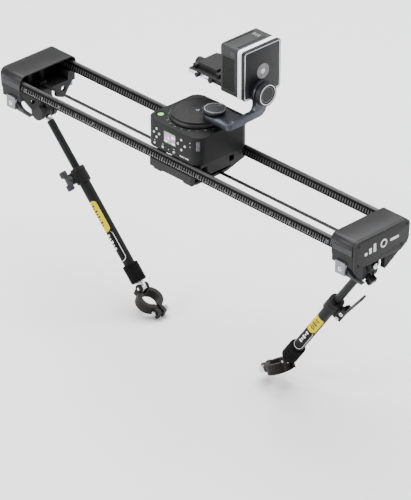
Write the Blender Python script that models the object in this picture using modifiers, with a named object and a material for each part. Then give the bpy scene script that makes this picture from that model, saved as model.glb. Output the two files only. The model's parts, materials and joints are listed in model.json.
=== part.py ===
"""Motorised camera slider with pan and tilt head and two folding support arms.

Lengths are in millimetres in this file and become metres in the meshes.  +X runs along the rails,
-Y is the controller's front, +Z is up, and the origin is the centre of the tripod face.
"""
import math

import bmesh
import bpy
from mathutils import Matrix, Vector

MM = 0.001
GAP = 0.3

# Rails
RAIL_Y = 54.45
RAIL_W = 11.7
RAIL_H = 16.4
RAIL_Z = 19.0
RAIL_END = 393.0
RAIL_TOP = RAIL_Z + RAIL_H

# End blocks
BLOCK_IN = 350.0
BLOCK_OUT = 400.0
BLOCK_Y = 60.3
COVER_TOP = 44.5
PLATE_T = 5.0
FRAME_Z = -1.0
PIN_Z = -22.0
LUG_R = 10.0
PIN_R = 4.0

# Fold-out feet
FOOT_X = 372.0
FOOT_Y = 55.0
FOOT_Z = -8.0
FOOT_R = 8.5

# Drive belt
BELT_Z = 5.8
BELT_T = 1.4
BELT_W = 6.4
BELT_END = 368.0

# Carriage and controller
CASE_X = 58.5
CASE_Y = 56.0
CASE_Z = 38.5
CASE_TOP = 86.0
CASE_R = 17.0
CASE_WALL = 2.6
ROLLER_X = 40.0
ROLLER_R = 8.0
PULLEY_R = 6.0

# Pan disc, arm and tilt unit
DISC_Z = 86.4
DISC_TOP = 97.0
DISC_R = 43.0
CAP_R = 19.5
ARM_CAP_X = 38.0
ARM_Z = 99.3
ARM_ROOT_T = 9.0
ARM_X = 80.5
ARM_T = 8.0
ARM_CAP_Y = 54.0
ARM_CAP_Z = 141.0
TILT_X0 = 29.0
TILT_X1 = 80.2
TILT_Y0 = 21.0
TILT_Y1 = 101.0
TILT_Z0 = 132.0
TILT_Z1 = 216.5
TILT_AXIS_Y = 62.5
TILT_AXIS_Z = 172.3

# Support arms: the hub is the upper pivot, and lengths run down the arm from it
HUB_X = 361.5
HUB_Z = -39.0
HEAD_R = 12.0
ROD_R = 6.4
ROD_END = 186.0
TUBE_R = 9.2
COLLAR_R = 12.5
COLLAR_L = 27.0
SLEEVE_R = 13.6
SLEEVE_L = 32.0
LUG_DROP = 11.0
RING_OUT = 22.0
RING_IN = 14.5
RING_H = 17.0
RING_REACH = 22.0
RING_RISE = 10.0
EAR_OUT = COLLAR_R + 7.0
STUD_R = 2.5
LEVER_EAR = 24.5
LEVER_PIN = (19.0, -10.5)
LEVER_BOLT = (18.0, -26.0)
LEVER_LEAN = math.radians(5.5)
LEG_LEAN = math.radians(25.0)
ARMS = {
    "left": {"side": -1, "lean": math.radians(44.1), "collar": 109.5,
             "tube": 179.5, "ear_spin": 0.0},
    "right": {"side": 1, "lean": math.radians(35.0), "collar": 93.0,
              "tube": 145.0, "ear_spin": math.radians(-75.0)},
}

COLOURS = {
    "anodised_black": ((0.045, 0.047, 0.050), 0.45, 0.6),
    "moulded_black": ((0.030, 0.031, 0.033), 0.60, 0.0),
    "cast_grey": ((0.075, 0.078, 0.082), 0.55, 0.5),
    "arm_blue_grey": ((0.260, 0.290, 0.350), 0.38, 0.8),
    "bare_metal": ((0.620, 0.630, 0.650), 0.30, 1.0),
    "rubber": ((0.020, 0.020, 0.020), 0.85, 0.0),
    "key_grey": ((0.450, 0.460, 0.470), 0.50, 0.0),
    "screen_glass": ((0.030, 0.020, 0.050), 0.10, 0.0),
    "level_green": ((0.250, 0.700, 0.200), 0.15, 0.0),
}


# ---------------------------------------------------------------- scene and materials

def clear_scene():
    for item in list(bpy.data.objects):
        bpy.data.objects.remove(item, do_unlink=True)


def make_collection(name):
    collection = bpy.data.collections.new(name)
    bpy.context.scene.collection.children.link(collection)
    return collection


def make_materials():
    made = {}
    for name, (colour, roughness, metallic) in COLOURS.items():
        material = bpy.data.materials.new(name)
        material.use_nodes = True
        shader = material.node_tree.nodes["Principled BSDF"]
        shader.inputs["Base Color"].default_value = (*colour, 1.0)
        shader.inputs["Roughness"].default_value = roughness
        shader.inputs["Metallic"].default_value = metallic
        material.diffuse_color = (*colour, 1.0)
        made[name] = material
    return made


clear_scene()
PARTS = make_collection("camera_slider")
MATERIALS = make_materials()


# ---------------------------------------------------------------- solids

def from_bmesh(work, name):
    """Turn a bmesh in millimetres into a linked object in metres."""
    bmesh.ops.scale(work, vec=(MM, MM, MM), verts=work.verts)
    bmesh.ops.recalc_face_normals(work, faces=work.faces)
    mesh = bpy.data.meshes.new(name)
    work.to_mesh(mesh)
    work.free()
    item = bpy.data.objects.new(name, mesh)
    PARTS.objects.link(item)
    return item


def bake(item):
    """Replace the object's mesh by its evaluated one, and drop its modifiers."""
    bpy.context.view_layer.update()
    evaluated = item.evaluated_get(bpy.context.evaluated_depsgraph_get())
    mesh = bpy.data.meshes.new_from_object(evaluated)
    item.modifiers.clear()
    old = item.data
    item.data = mesh
    bpy.data.meshes.remove(old)
    return item


def soften(item, width, segments=2, angle=40.0):
    """Round the object's sharp edges."""
    bevel = item.modifiers.new("edges", "BEVEL")
    bevel.width = width * MM
    bevel.segments = segments
    bevel.limit_method = "ANGLE"
    bevel.angle_limit = math.radians(angle)
    return bake(item)


def box(low, high, name="box"):
    work = bmesh.new()
    bmesh.ops.create_cube(work, size=1.0)
    size = [b - a for a, b in zip(low, high)]
    middle = [(a + b) / 2 for a, b in zip(low, high)]
    bmesh.ops.scale(work, vec=size, verts=work.verts)
    bmesh.ops.translate(work, vec=middle, verts=work.verts)
    return from_bmesh(work, name)


def cylinder(radius, start, end, name="cylinder", segments=16, end_radius=None):
    """A cylinder or cone between two points on its axis."""
    start, end = Vector(start), Vector(end)
    axis = end - start
    work = bmesh.new()
    far_radius = radius if end_radius is None else end_radius
    bmesh.ops.create_cone(work, cap_ends=True, segments=segments, radius1=radius,
                          radius2=far_radius, depth=axis.length)
    turn = axis.to_track_quat("Z", "Y").to_matrix().to_4x4()
    place = Matrix.Translation((start + end) / 2) @ turn
    bmesh.ops.transform(work, matrix=place, verts=work.verts)
    return from_bmesh(work, name)


def turned(profile, name, segments=32):
    """A turned solid about Z: the profile runs down its outer side from axis to axis."""
    mesh = bpy.data.meshes.new(name)
    points = [(r * MM, 0.0, z * MM) for r, z in profile]
    edges = [(i, i + 1) for i in range(len(points) - 1)]
    mesh.from_pydata(points, edges, [])
    item = bpy.data.objects.new(name, mesh)
    PARTS.objects.link(item)
    screw = item.modifiers.new("turn", "SCREW")
    screw.steps = segments
    screw.render_steps = segments
    screw.use_merge_vertices = True
    screw.merge_threshold = 0.00001
    return bake(item)


def rounded(corners, steps=4):
    """Outline points from (u, v, radius) corners, each rounded by its radius."""
    points = []
    count = len(corners)
    for i, (u, v, radius) in enumerate(corners):
        here = Vector((u, v))
        if radius <= 0:
            points.append((u, v))
            continue
        before = (Vector(corners[i - 1][:2]) - here).normalized()
        after = (Vector(corners[(i + 1) % count][:2]) - here).normalized()
        half = before.angle(after) / 2
        reach = radius / math.tan(half)
        centre = here + (before + after).normalized() * (radius / math.sin(half))
        first = here + before * reach - centre
        last = here + after * reach - centre
        sweep = first.angle_signed(last)
        for k in range(steps + 1):
            turn = Matrix.Rotation(-sweep * k / steps, 2)
            spot = centre + turn @ first
            points.append((spot.x, spot.y))
    return points


def arc(centre, radius, start, end, steps):
    """Points on an arc, angles in degrees."""
    points = []
    for k in range(steps + 1):
        angle = math.radians(start + (end - start) * k / steps)
        points.append((centre[0] + radius * math.cos(angle), centre[1] + radius * math.sin(angle)))
    return points


AXIS_TURN = {
    "X": Matrix(((0, 0, 1, 0), (1, 0, 0, 0), (0, 1, 0, 0), (0, 0, 0, 1))),
    "Y": Matrix(((1, 0, 0, 0), (0, 0, -1, 0), (0, 1, 0, 0), (0, 0, 0, 1))),
    "Z": Matrix.Identity(4),
}
AXIS_VECTOR = {"X": Vector((1, 0, 0)), "Y": Vector((0, 1, 0)), "Z": Vector((0, 0, 1))}


def plate(outline, axis, low, high, name="plate", holes=()):
    """A flat outline extruded along an axis: (Y, Z) for X, (X, Z) for Y and (X, Y) for Z."""
    curve = bpy.data.curves.new(name, "CURVE")
    curve.dimensions = "2D"
    curve.fill_mode = "BOTH"
    curve.extrude = (high - low) / 2 * MM
    for ring in (outline, *holes):
        spline = curve.splines.new("POLY")
        spline.points.add(len(ring) - 1)
        for point, (u, v) in zip(spline.points, ring):
            point.co = (u * MM, v * MM, 0.0, 1.0)
        spline.use_cyclic_u = True
    flat = bpy.data.objects.new(name, curve)
    PARTS.objects.link(flat)
    middle = AXIS_VECTOR[axis] * ((low + high) / 2 * MM)
    bpy.context.view_layer.update()
    evaluated = flat.evaluated_get(bpy.context.evaluated_depsgraph_get())
    mesh = bpy.data.meshes.new_from_object(evaluated)
    mesh.transform(Matrix.Translation(middle) @ AXIS_TURN[axis])
    bpy.data.objects.remove(flat, do_unlink=True)
    bpy.data.curves.remove(curve)
    work = bmesh.new()
    work.from_mesh(mesh)
    bmesh.ops.remove_doubles(work, verts=work.verts, dist=0.000002)
    bmesh.ops.recalc_face_normals(work, faces=work.faces)
    work.to_mesh(mesh)
    work.free()
    item = bpy.data.objects.new(name, mesh)
    PARTS.objects.link(item)
    return item


def combine(base, others, operation):
    """Join the other solids to the base, or cut them out of it, and remove them."""
    for other in others:
        step = base.modifiers.new(operation.lower(), "BOOLEAN")
        step.operation = operation
        step.solver = "EXACT"
        step.object = other
    bake(base)
    for other in others:
        mesh = other.data
        bpy.data.objects.remove(other, do_unlink=True)
        bpy.data.meshes.remove(mesh)
    return base


def join(base, *others):
    return combine(base, others, "UNION")


def cut(base, *others):
    return combine(base, others, "DIFFERENCE")


def finish(item, name, material, parent=None, spin=0.0, smooth=False):
    """Name a finished solid, give it its material and hang it on its pivot or turn it about Z."""
    item.name = name
    item.data.name = name
    item.data.materials.clear()
    item.data.materials.append(MATERIALS[material])
    if smooth:
        item.data.shade_smooth()
        item.data.set_sharp_from_angle(angle=math.radians(35))
    item.rotation_euler = (0.0, 0.0, spin)
    if parent is not None:
        bpy.context.view_layer.update()
        item.parent = parent
        item.matrix_parent_inverse = parent.matrix_world.inverted()
    return item


def pivot(name, place, parent=None, turn=None):
    """An empty on a joint's axis.  Turned pivots carry pieces that are built along the arm."""
    empty = bpy.data.objects.new(name, None)
    PARTS.objects.link(empty)
    empty.location = Vector(place) * MM
    if turn is not None:
        empty.rotation_euler = turn
    if parent is not None:
        bpy.context.view_layer.update()
        empty.parent = parent
        empty.matrix_parent_inverse = parent.matrix_world.inverted()
    bpy.context.view_layer.update()
    return empty


def hang(item, name, material, carrier, smooth=False):
    """Finish a piece whose mesh is in its carrier's own frame."""
    finish(item, name, material, smooth=smooth)
    item.parent = carrier
    return item


# ---------------------------------------------------------------- rails and belt

def rail_profile(middle):
    """Closed rail section: a round bead on top of a shouldered body."""
    half = RAIL_W / 2
    bead_r = 3.6
    bead_z = RAIL_H - bead_r
    right = [(half - 1.0, 0.0), (half, 1.2), (half, 9.4), (half - 0.9, 10.6), (3.0, 11.0)]
    bead = arc((0.0, bead_z), bead_r, 0.0, 180.0, 8)
    left = [(-y, z) for y, z in reversed(right)]
    return [(middle + y, RAIL_Z + z) for y, z in right + bead + left]


def build_rails():
    for name, middle in (("rail_front", -RAIL_Y), ("rail_rear", RAIL_Y)):
        rail = plate(rail_profile(middle), "X", -RAIL_END, RAIL_END)
        finish(rail, name, "anodised_black")
    half = BELT_W / 2
    belt = box((-BELT_END, -half, BELT_Z), (BELT_END, half, BELT_Z + BELT_T))
    finish(belt, "drive_belt", "rubber")


# ---------------------------------------------------------------- end blocks

def frame_web():
    """Inner cross web of the end block, with a pointed fin on each side of the middle."""
    edge = BLOCK_Y - 1.3
    right = rounded([(edge, RAIL_Z - 0.5, 0), (edge, 10.0, 3), (34.0, -25.0, 5), (17.0, -18.0, 3),
                     (17.0, -3.0, 2), (0.0, -3.0, 0)])[:-1]
    return right + [(-y, z) for y, z in reversed(right)]


def frame_lug(radius):
    return [(radius, 2.0), (-radius, 2.0)] + arc((0.0, PIN_Z), radius, 180.0, 360.0, 8)


def build_frame(name, spin):
    """Tray casting that holds the rail ends, the belt end, both feet and the support arm's lugs."""
    beam = box((BLOCK_IN + 2.0, -BLOCK_Y + 0.6, FRAME_Z), (394.4, BLOCK_Y - 0.6, RAIL_Z - GAP))
    web = plate(frame_web(), "X", BLOCK_IN + 0.4, BLOCK_IN + 5.4)
    inner_lug = plate(frame_lug(LUG_R - 2.5), "X", BLOCK_IN + 0.2, BLOCK_IN + 2.8)
    outer_lug = plate(frame_lug(LUG_R), "X", 377.0, 384.0)
    fin = rounded([(54.0, 2.0, 0), (45.0, -8.0, 3), (9.0, -30.0, 2), (1.5 + LUG_R, -21.0, 2),
                   (1.5 + LUG_R, 2.0, 0)])
    outer_fin = plate(fin, "X", 386.0, 394.0)
    join(beam, web, inner_lug, outer_lug, outer_fin)
    cut(beam, box((BLOCK_IN - 2.0, -43.0, 4.0), (389.0, 43.0, RAIL_Z + 1.0)))
    belt_anchor = box((BELT_END - 6.0, -7.0, 3.0), (BELT_END + 6.0, 7.0, 12.0))
    posts = [cylinder(6.0, (382.0, y, 3.0), (382.0, y, COVER_TOP - 2.4 - GAP)) for y in (-12, 14)]
    join(beam, belt_anchor, *posts)
    holes = [cylinder(PIN_R + GAP, (BLOCK_IN - 2, 0, PIN_Z), (390.0, 0, PIN_Z)),
             box((BLOCK_IN - 2, -BELT_W / 2 - GAP, BELT_Z - GAP),
                 (BELT_END + 1.0, BELT_W / 2 + GAP, BELT_Z + BELT_T + GAP))]
    for side in (-1, 1):
        middle = side * (FOOT_Y + 1.0)
        low = (FOOT_X - 12.0, middle - 8.8, FRAME_Z - 3)
        high = (FOOT_X + 12.0, middle + 8.8, 5.3)
        holes.append(box(low, high))
        holes.append(cylinder(5.0, (BLOCK_IN - 2, side * 33.0, -8.0), (BLOCK_IN + 7, side * 33.0, -8.0)))
    cut(beam, *holes)
    finish(beam, name, "cast_grey", spin=spin)


def build_cover(name, spin):
    """Arched strap over the end block."""
    wall = 1.9
    outer = rounded([(BLOCK_Y, 30.2, 0), (BLOCK_Y, COVER_TOP, 11.0), (-BLOCK_Y, COVER_TOP, 11.0),
                     (-BLOCK_Y, 30.2, 0)], steps=6)
    inner_y = BLOCK_Y - wall
    inner = rounded([(-inner_y, 30.2, 0), (-inner_y, COVER_TOP - wall, 9.1),
                     (inner_y, COVER_TOP - wall, 9.1), (inner_y, 30.2, 0)], steps=6)
    cover = plate(outer + inner, "X", BLOCK_IN, BLOCK_OUT - PLATE_T - GAP)
    finish(cover, name, "cast_grey", spin=spin)


def build_end_plate(name, spin):
    outline = rounded([(-BLOCK_Y, COVER_TOP, 10.0), (-BLOCK_Y, -2.0, 4.0), (40.0, -4.0, 8.0),
                       (BLOCK_Y - 2.5, 8.0, 12.0), (BLOCK_Y, COVER_TOP, 10.0)])
    face = plate(outline, "X", BLOCK_OUT - PLATE_T, BLOCK_OUT)
    screws = []
    for y, z in ((-52.0, 36.5), (52.0, 36.5), (-53.0, 4.5), (41.0, 6.0)):
        screws.append(cylinder(2.6, (BLOCK_OUT - 1.6, y, z), (BLOCK_OUT + 1, y, z), segments=8))
    cut(face, *screws)
    finish(face, name, "cast_grey", spin=spin)


def build_foot(corner, place_x, spin):
    """Silver hinge block and the dark folding foot in it, built for the front and turned by spin."""
    y_in, y_out = -FOOT_Y + 7.2, -FOOT_Y - 8.0
    block = box((place_x - 10.0, y_out, FOOT_Z - 9.0), (place_x + 10.0, y_in, 4.9))
    slot = box((place_x - 11.0, -FOOT_Y - 3.6, FOOT_Z - 10.0), (place_x + 11.0, -FOOT_Y + 3.6, 1.2))
    cut(block, slot)
    cut(block, cylinder(2.3, (place_x, y_out - 1, FOOT_Z), (place_x, y_in + 1, FOOT_Z), segments=10))
    finish(block, f"foot_hinge_{corner}", "bare_metal", spin=spin)
    heel = arc((0.0, 0.0), FOOT_R, 60.0, 262.0, 8)
    sweep = arc((31.0, 12.0), 21.0, 272.0, 214.0, 6)
    sole = rounded([(*heel[-1], 0), (8.0, -10.2, 3), (41.0, -13.2, 1.5), (41.5, -9.4, 1.0),
                    (*sweep[0], 0)], steps=3)
    outline = [(place_x + u, FOOT_Z + v) for u, v in heel + sole[1:-1] + sweep]
    leg = plate(outline, "Y", -FOOT_Y - 3.3, -FOOT_Y + 3.3)
    join(leg, cylinder(2.0, (place_x, y_out, FOOT_Z), (place_x, y_in, FOOT_Z), segments=10))
    turn = Matrix.Rotation(spin, 3, "Z")
    hinge = pivot(f"foot_pivot_{corner}", turn @ Vector((place_x, -FOOT_Y, FOOT_Z)))
    finish(leg, f"foot_leg_{corner}", "cast_grey", parent=None, spin=spin)
    bpy.context.view_layer.update()
    leg.parent = hinge
    leg.matrix_parent_inverse = hinge.matrix_world.inverted()


def build_end_blocks():
    for side, spin in (("right", 0.0), ("left", math.pi)):
        build_frame(f"end_frame_{side}", spin)
        build_cover(f"end_cover_{side}", spin)
        build_end_plate(f"end_plate_{side}", spin)
    build_foot("front_right", FOOT_X, 0.0)
    build_foot("front_left", -FOOT_X, 0.0)
    build_foot("rear_left", FOOT_X, math.pi)
    build_foot("rear_right", -FOOT_X, math.pi)


# ---------------------------------------------------------------- tripod bracket

def build_base():
    """Channel under the rails that the tripod plate screws to."""
    outline = [(-60.0, RAIL_Z - GAP), (-60.0, 3.0), (-57.0, 0.0), (18.0, 0.0), (56.0, 10.5), (60.0, 13.0),
               (60.0, RAIL_Z - GAP), (50.5, RAIL_Z - GAP), (50.5, 14.0), (16.0, 4.2), (-50.5, 4.2),
               (-50.5, RAIL_Z - GAP)]
    bracket = plate(outline, "X", -46.0, 46.0)
    trims = []
    for low, high in ((-47.0, -38.0), (-24.0, 29.0), (45.0, 47.0)):
        trims.append(box((low, -62.0, -1.0), (high, -48.0, 5.0)))
    trims.append(cylinder(4.8, (0.0, -14.0, -1.0), (0.0, -14.0, 6.0)))
    cut(bracket, *trims)
    finish(bracket, "tripod_bracket", "cast_grey")


# ---------------------------------------------------------------- carriage

def build_chassis(carriage):
    deck = box((-55.0, -46.0, 31.5), (55.0, 46.0, CASE_Z - GAP))
    keel = box((-16.0, -13.0, 15.8), (16.0, 13.0, 33.0))
    well = box((-8.0, -4.2, 7.0), (8.0, 4.2, 23.0))
    end_outline = rounded([(-32.0, 33.0, 0), (-32.0, 22.0, 2), (-24.0, 15.0, 2), (34.0, 15.0, 2),
                           (44.0, 22.0, 2), (44.0, 33.0, 0)], steps=2)
    ends = [plate(end_outline, "X", side * 52.0 - 3.0, side * 52.0 + 3.0) for side in (-1, 1)]
    join(deck, keel, *ends)
    posts = []
    for x in (-ROLLER_X, ROLLER_X):
        for y in (-1, 1):
            middle = y * (RAIL_Y - RAIL_W / 2 - GAP - ROLLER_R)
            posts.append(cylinder(2.2, (x, middle, 19.5), (x, middle, 33.0), segments=10))
    join(deck, *posts)
    windows = [box((side * 52.0 - 5.0, 15.0, 22.0), (side * 52.0 + 5.0, 25.0, 31.5)) for side in (-1, 1)]
    axle_hole = cylinder(2.0 + GAP, (0, -14, 14.0), (0, 14, 14.0), segments=10)
    cut(deck, well, *windows)
    axle_seats = [box((-4.0, side * 8.2 - 3.5, 11.2), (4.0, side * 8.2 + 3.5, 17.0)) for side in (-1, 1)]
    join(deck, *axle_seats)
    cut(deck, axle_hole)
    finish(deck, "carriage_chassis", "moulded_black", parent=carriage)


def build_rollers(carriage):
    for end, x in (("left", -ROLLER_X), ("right", ROLLER_X)):
        for row, y in (("front", -1), ("rear", 1)):
            middle = y * (RAIL_Y - RAIL_W / 2 - GAP - ROLLER_R)
            r = ROLLER_R
            low, high = -8.2, 0.2
            profile = [(2.5, high), (r - 1.2, high), (r, high - 1.2), (r, low + 1.2), (r - 1.2, low),
                       (2.5, low), (2.5, high)]
            roller = turned(profile, "roller", segments=16)
            axle = pivot(f"roller_axle_{row}_{end}", (x, middle, 28.4), parent=carriage)
            hang(roller, f"roller_{row}_{end}", "rubber", axle, smooth=True)


def build_pulley(carriage):
    axle = pivot("pulley_axle", (0.0, 0.0, 14.0), parent=carriage)
    drum = cylinder(PULLEY_R, (0, -3.5, 0), (0, 3.5, 0), segments=18)
    flanges = [cylinder(PULLEY_R + 0.5, (0, side * 4.1, 0), (0, side * 3.4, 0), segments=18)
               for side in (-1, 1)]
    join(drum, *flanges, cylinder(2.0, (0, -12.0, 0), (0, 12.0, 0), segments=10))
    hang(drum, "drive_pulley", "bare_metal", axle)


def case_outline(inset):
    x, y, r = CASE_X - inset, CASE_Y - inset, CASE_R - inset
    return rounded([(x, y, r), (-x, y, r), (-x, -y, r), (x, -y, r)], steps=4)


KEY_LAYOUT = {
    "left_keypad": [(-39.9, 64.7), (-28.3, 64.7), (-34.1, 71.9), (-34.1, 57.5)],
    "right_keypad": [(13.7, 64.3), (29.1, 64.3), (21.4, 72.9), (21.4, 55.7)],
    "home_key": [(-38.8, 46.1)],
    "menu_key": [(-20.2, 45.1)],
    "run_key": [(4.7, 45.1)],
}
KEY_R = 2.1
KEY_LIP = 2.3
SCREEN = (-18.3, 8.5, 55.1, 75.7)
LEVEL_XY = (-46.5, -35.5)
LEVEL_R = 6.5
WHEEL_R = 11.0
WHEEL_W = 6.0
WHEEL_Z = 71.6
WHEEL_REACH = 9.5


def wheel_centre():
    corner = Vector((CASE_X - CASE_R, -CASE_Y + CASE_R, WHEEL_Z))
    return corner + Vector((1.0, -1.0, 0.0)).normalized() * WHEEL_REACH


def build_case(carriage):
    """Hollow controller housing, open underneath."""
    case = plate(case_outline(0.0), "Z", CASE_Z, CASE_TOP)
    soften(case, 5.0, segments=2, angle=60.0)
    cut(case, box((-70, -70, CASE_Z - 1), (70, 70, CASE_Z + 2.0)))
    skirt = plate(case_outline(0.0), "Z", CASE_Z, CASE_Z + 6.0)
    join(case, skirt)
    cut(case, plate(case_outline(CASE_WALL), "Z", CASE_Z - 1.0, CASE_TOP - 4.0))
    openings = []
    for keys in KEY_LAYOUT.values():
        for x, z in keys:
            openings.append(cylinder(KEY_R + GAP, (x, -CASE_Y - 2, z), (x, -CASE_Y + 4, z), segments=10))
    openings.append(cylinder(LEVEL_R + GAP, (*LEVEL_XY, CASE_TOP - 3.0), (*LEVEL_XY, CASE_TOP + 2)))
    openings.append(cylinder(8.6, (0, 0, CASE_TOP - 6.0), (0, 0, CASE_TOP + 2)))
    openings.append(box((SCREEN[0] - GAP, -CASE_Y - 2, SCREEN[2] - GAP),
                        (SCREEN[1] + GAP, -CASE_Y + 1.3, SCREEN[3] + GAP)))
    cut(case, *openings)
    middle = wheel_centre()
    side = Vector((1.0, 1.0, 0.0)).normalized() * (WHEEL_W / 2 + 0.5)
    cut(case, cylinder(WHEEL_R + 0.5, middle - side, middle + side, segments=20))
    finish(case, "controller_case", "moulded_black", parent=carriage)


def build_controls(carriage):
    x0, x1, z0, z1 = SCREEN
    screen = box((x0, -CASE_Y - 0.1, z0), (x1, -CASE_Y + 1.0, z1))
    finish(screen, "display_window", "screen_glass", parent=carriage)
    for name, keys in KEY_LAYOUT.items():
        face_y, back_y = -CASE_Y - 1.1, -CASE_Y + CASE_WALL + 0.7
        caps = [cylinder(KEY_R, (x, face_y, z), (x, -CASE_Y + 5.0, z), segments=10) for x, z in keys]
        xs = [x for x, z in keys]
        zs = [z for x, z in keys]
        low = (min(xs) - KEY_LIP, back_y, min(zs) - KEY_LIP)
        high = (max(xs) + KEY_LIP, back_y + 1.6, max(zs) + KEY_LIP)
        pad = box(low, high)
        join(pad, *caps)
        seat = pivot(f"{name}_slide", (sum(xs) / len(xs), -CASE_Y, sum(zs) / len(zs)), parent=carriage)
        finish(pad, name, "key_grey", parent=seat)
    middle = wheel_centre()
    side = Vector((1.0, 1.0, 0.0)).normalized() * (WHEEL_W / 2)
    axle = pivot("thumbwheel_axle", middle, parent=carriage)
    wheel = cylinder(WHEEL_R, middle - side, middle + side, segments=20)
    finish(wheel, "thumbwheel", "key_grey", parent=axle)
    vial = [(0.0, 0.1), (LEVEL_R - 2.0, 0.0), (LEVEL_R - 0.1, -0.5), (LEVEL_R, -2.6), (0.0, -2.6)]
    level = turned(vial, "level", segments=16)
    seat = pivot("level_seat", (*LEVEL_XY, CASE_TOP), parent=carriage)
    hang(level, "bubble_level", "level_green", seat, smooth=True)


def build_motor(carriage):
    motor = cylinder(15.0, (-30.0, 12.0, CASE_Z + GAP), (-30.0, 12.0, CASE_Z + 34.0), segments=18)
    gearbox = box((-24.0, -8.0, CASE_Z + GAP), (2.0, 20.0, CASE_Z + 14.0))
    join(motor, gearbox)
    finish(motor, "slide_motor", "bare_metal", parent=carriage)


def build_board(carriage):
    board = box((-40.0, -48.5, 42.0), (31.0, -46.9, 81.0))
    finish(board, "control_board", "level_green", parent=carriage)


def build_carriage():
    carriage = pivot("carriage_slide", (0.0, 0.0, RAIL_TOP))
    build_chassis(carriage)
    build_rollers(carriage)
    build_pulley(carriage)
    build_case(carriage)
    build_controls(carriage)
    build_motor(carriage)
    build_board(carriage)
    return carriage


# ---------------------------------------------------------------- pan disc, arm and tilt unit

def build_pan(carriage):
    axis = pivot("pan_axis", (0.0, 0.0, DISC_Z), parent=carriage)
    height = DISC_TOP - DISC_Z
    r = DISC_R
    band_r = r + 1.5
    profile = [(0.0, height), (r - 1.0, height), (r, height - 0.8), (r, height - 3.0),
               (band_r, height - 3.4), (band_r, 2.6), (r - 2.0, 0.6), (r - 2.5, 0.0),
               (8.2, 0.0), (8.2, -5.6), (0.0, -5.6)]
    disc = turned(profile, "pan_disc", segments=40)
    hang(disc, "pan_disc", "moulded_black", axis, smooth=True)
    return axis


def lock_cap_profile(reach, skirt):
    """Quarter-turn cap: a foot, a rim of the given depth and a flat face set 0.5 mm into it."""
    r = CAP_R
    foot_r = r - 4.0
    return [(0.0, reach - 0.5), (r - 4.2, reach - 0.5), (r - 3.6, reach), (r - 0.8, reach),
            (r, reach - 0.8), (r, reach - skirt + 0.6), (r - 0.6, reach - skirt), (foot_r, reach - skirt),
            (foot_r, 0.0), (0.0, 0.0)]


def build_arm(axis):
    """L arm: a flat root on the disc, a rib along its outer edge and a neck up to the tilt unit."""
    edge_x = ARM_X + ARM_T
    root_r = CAP_R - 0.4
    root_outline = arc((ARM_CAP_X, 0.0), root_r, 90.0, 270.0, 12)
    root_outline += arc((edge_x - 7.0, 7.0 - root_r), 7.0, -90.0, 0.0, 4) + [(edge_x, root_r)]
    root = plate(root_outline, "Z", ARM_Z, ARM_Z + ARM_ROOT_T)
    foot = cylinder(13.0, (ARM_CAP_X, 0, DISC_TOP + GAP), (ARM_CAP_X, 0, ARM_Z + 1.0), segments=20)
    top = ARM_Z + 14.0
    tip = (-12.0, ARM_Z + ARM_ROOT_T)
    ring = arc((ARM_CAP_Y, ARM_CAP_Z), root_r, -62.0, 218.0, 20)
    rib = rounded([(*tip, 0), (-12.0, ARM_Z + 0.2, 4.0), (52.0, ARM_Z + 2.2, 9.0), (62.0, 108.5, 9.0),
                   (*ring[0], 0)], steps=5)
    inner = rounded([(*ring[-1], 0), (39.0, 122.0, 8.0), (36.0, top, 6.0), (-8.0, top - 1.5, 4.0),
                     (*tip, 0)], steps=4)
    wall = plate(rib[:-1] + ring + inner[1:-1], "X", ARM_X, ARM_X + ARM_T)
    join(root, foot, wall)
    finish(root, "l_arm", "arm_blue_grey", parent=axis)


def build_lock_caps(axis):
    cap = turned(lock_cap_profile(6.4, 3.2), "cap", segments=24)
    pin = pivot("pan_lock_pivot", (ARM_CAP_X, 0.0, ARM_Z + ARM_ROOT_T + GAP), parent=axis)
    hang(cap, "pan_lock_cap", "moulded_black", pin, smooth=True)
    cap = turned(lock_cap_profile(11.0, 8.5), "cap", segments=24)
    pin = pivot("tilt_lock_pivot", (ARM_X + ARM_T + GAP, ARM_CAP_Y, ARM_CAP_Z), parent=axis,
                turn=(0.0, math.pi / 2, 0.0))
    hang(cap, "tilt_lock_cap", "moulded_black", pin, smooth=True)


def build_tilt_unit(axis):
    face_t = 3.4
    outline = rounded([(TILT_Y0, TILT_Z0, 5.0), (TILT_Y1, TILT_Z0, 5.0), (TILT_Y1, TILT_Z1, 5.0),
                       (TILT_Y0, TILT_Z1, 5.0)], steps=4)
    body = plate(outline, "X", TILT_X0, TILT_X1 - face_t - GAP)
    grooves = []
    for offset in (5.0, 36.0):
        low = (TILT_X0 + offset, TILT_Y0 + 8.0, TILT_Z1 - 2.0)
        high = (TILT_X0 + offset + 3.0, TILT_Y1 - 20.0, TILT_Z1 + 1.0)
        grooves.append(box(low, high))
    hub_seat = cylinder(9.0 + GAP, (TILT_X0 - 1, TILT_AXIS_Y, TILT_AXIS_Z),
                        (TILT_X0 + 10, TILT_AXIS_Y, TILT_AXIS_Z), segments=18)
    cut(body, hub_seat, *grooves)
    finish(body, "tilt_housing", "moulded_black", parent=axis)
    face = plate(outline, "X", TILT_X1 - face_t, TILT_X1)
    soften(face, 0.8, segments=1, angle=50.0)
    finish(face, "tilt_face_plate", "arm_blue_grey", parent=axis)


CLAMP_X0 = -52.0
CLAMP_X1 = 22.0
DECK_Z = 134.5
DECK_T = 7.0


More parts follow.
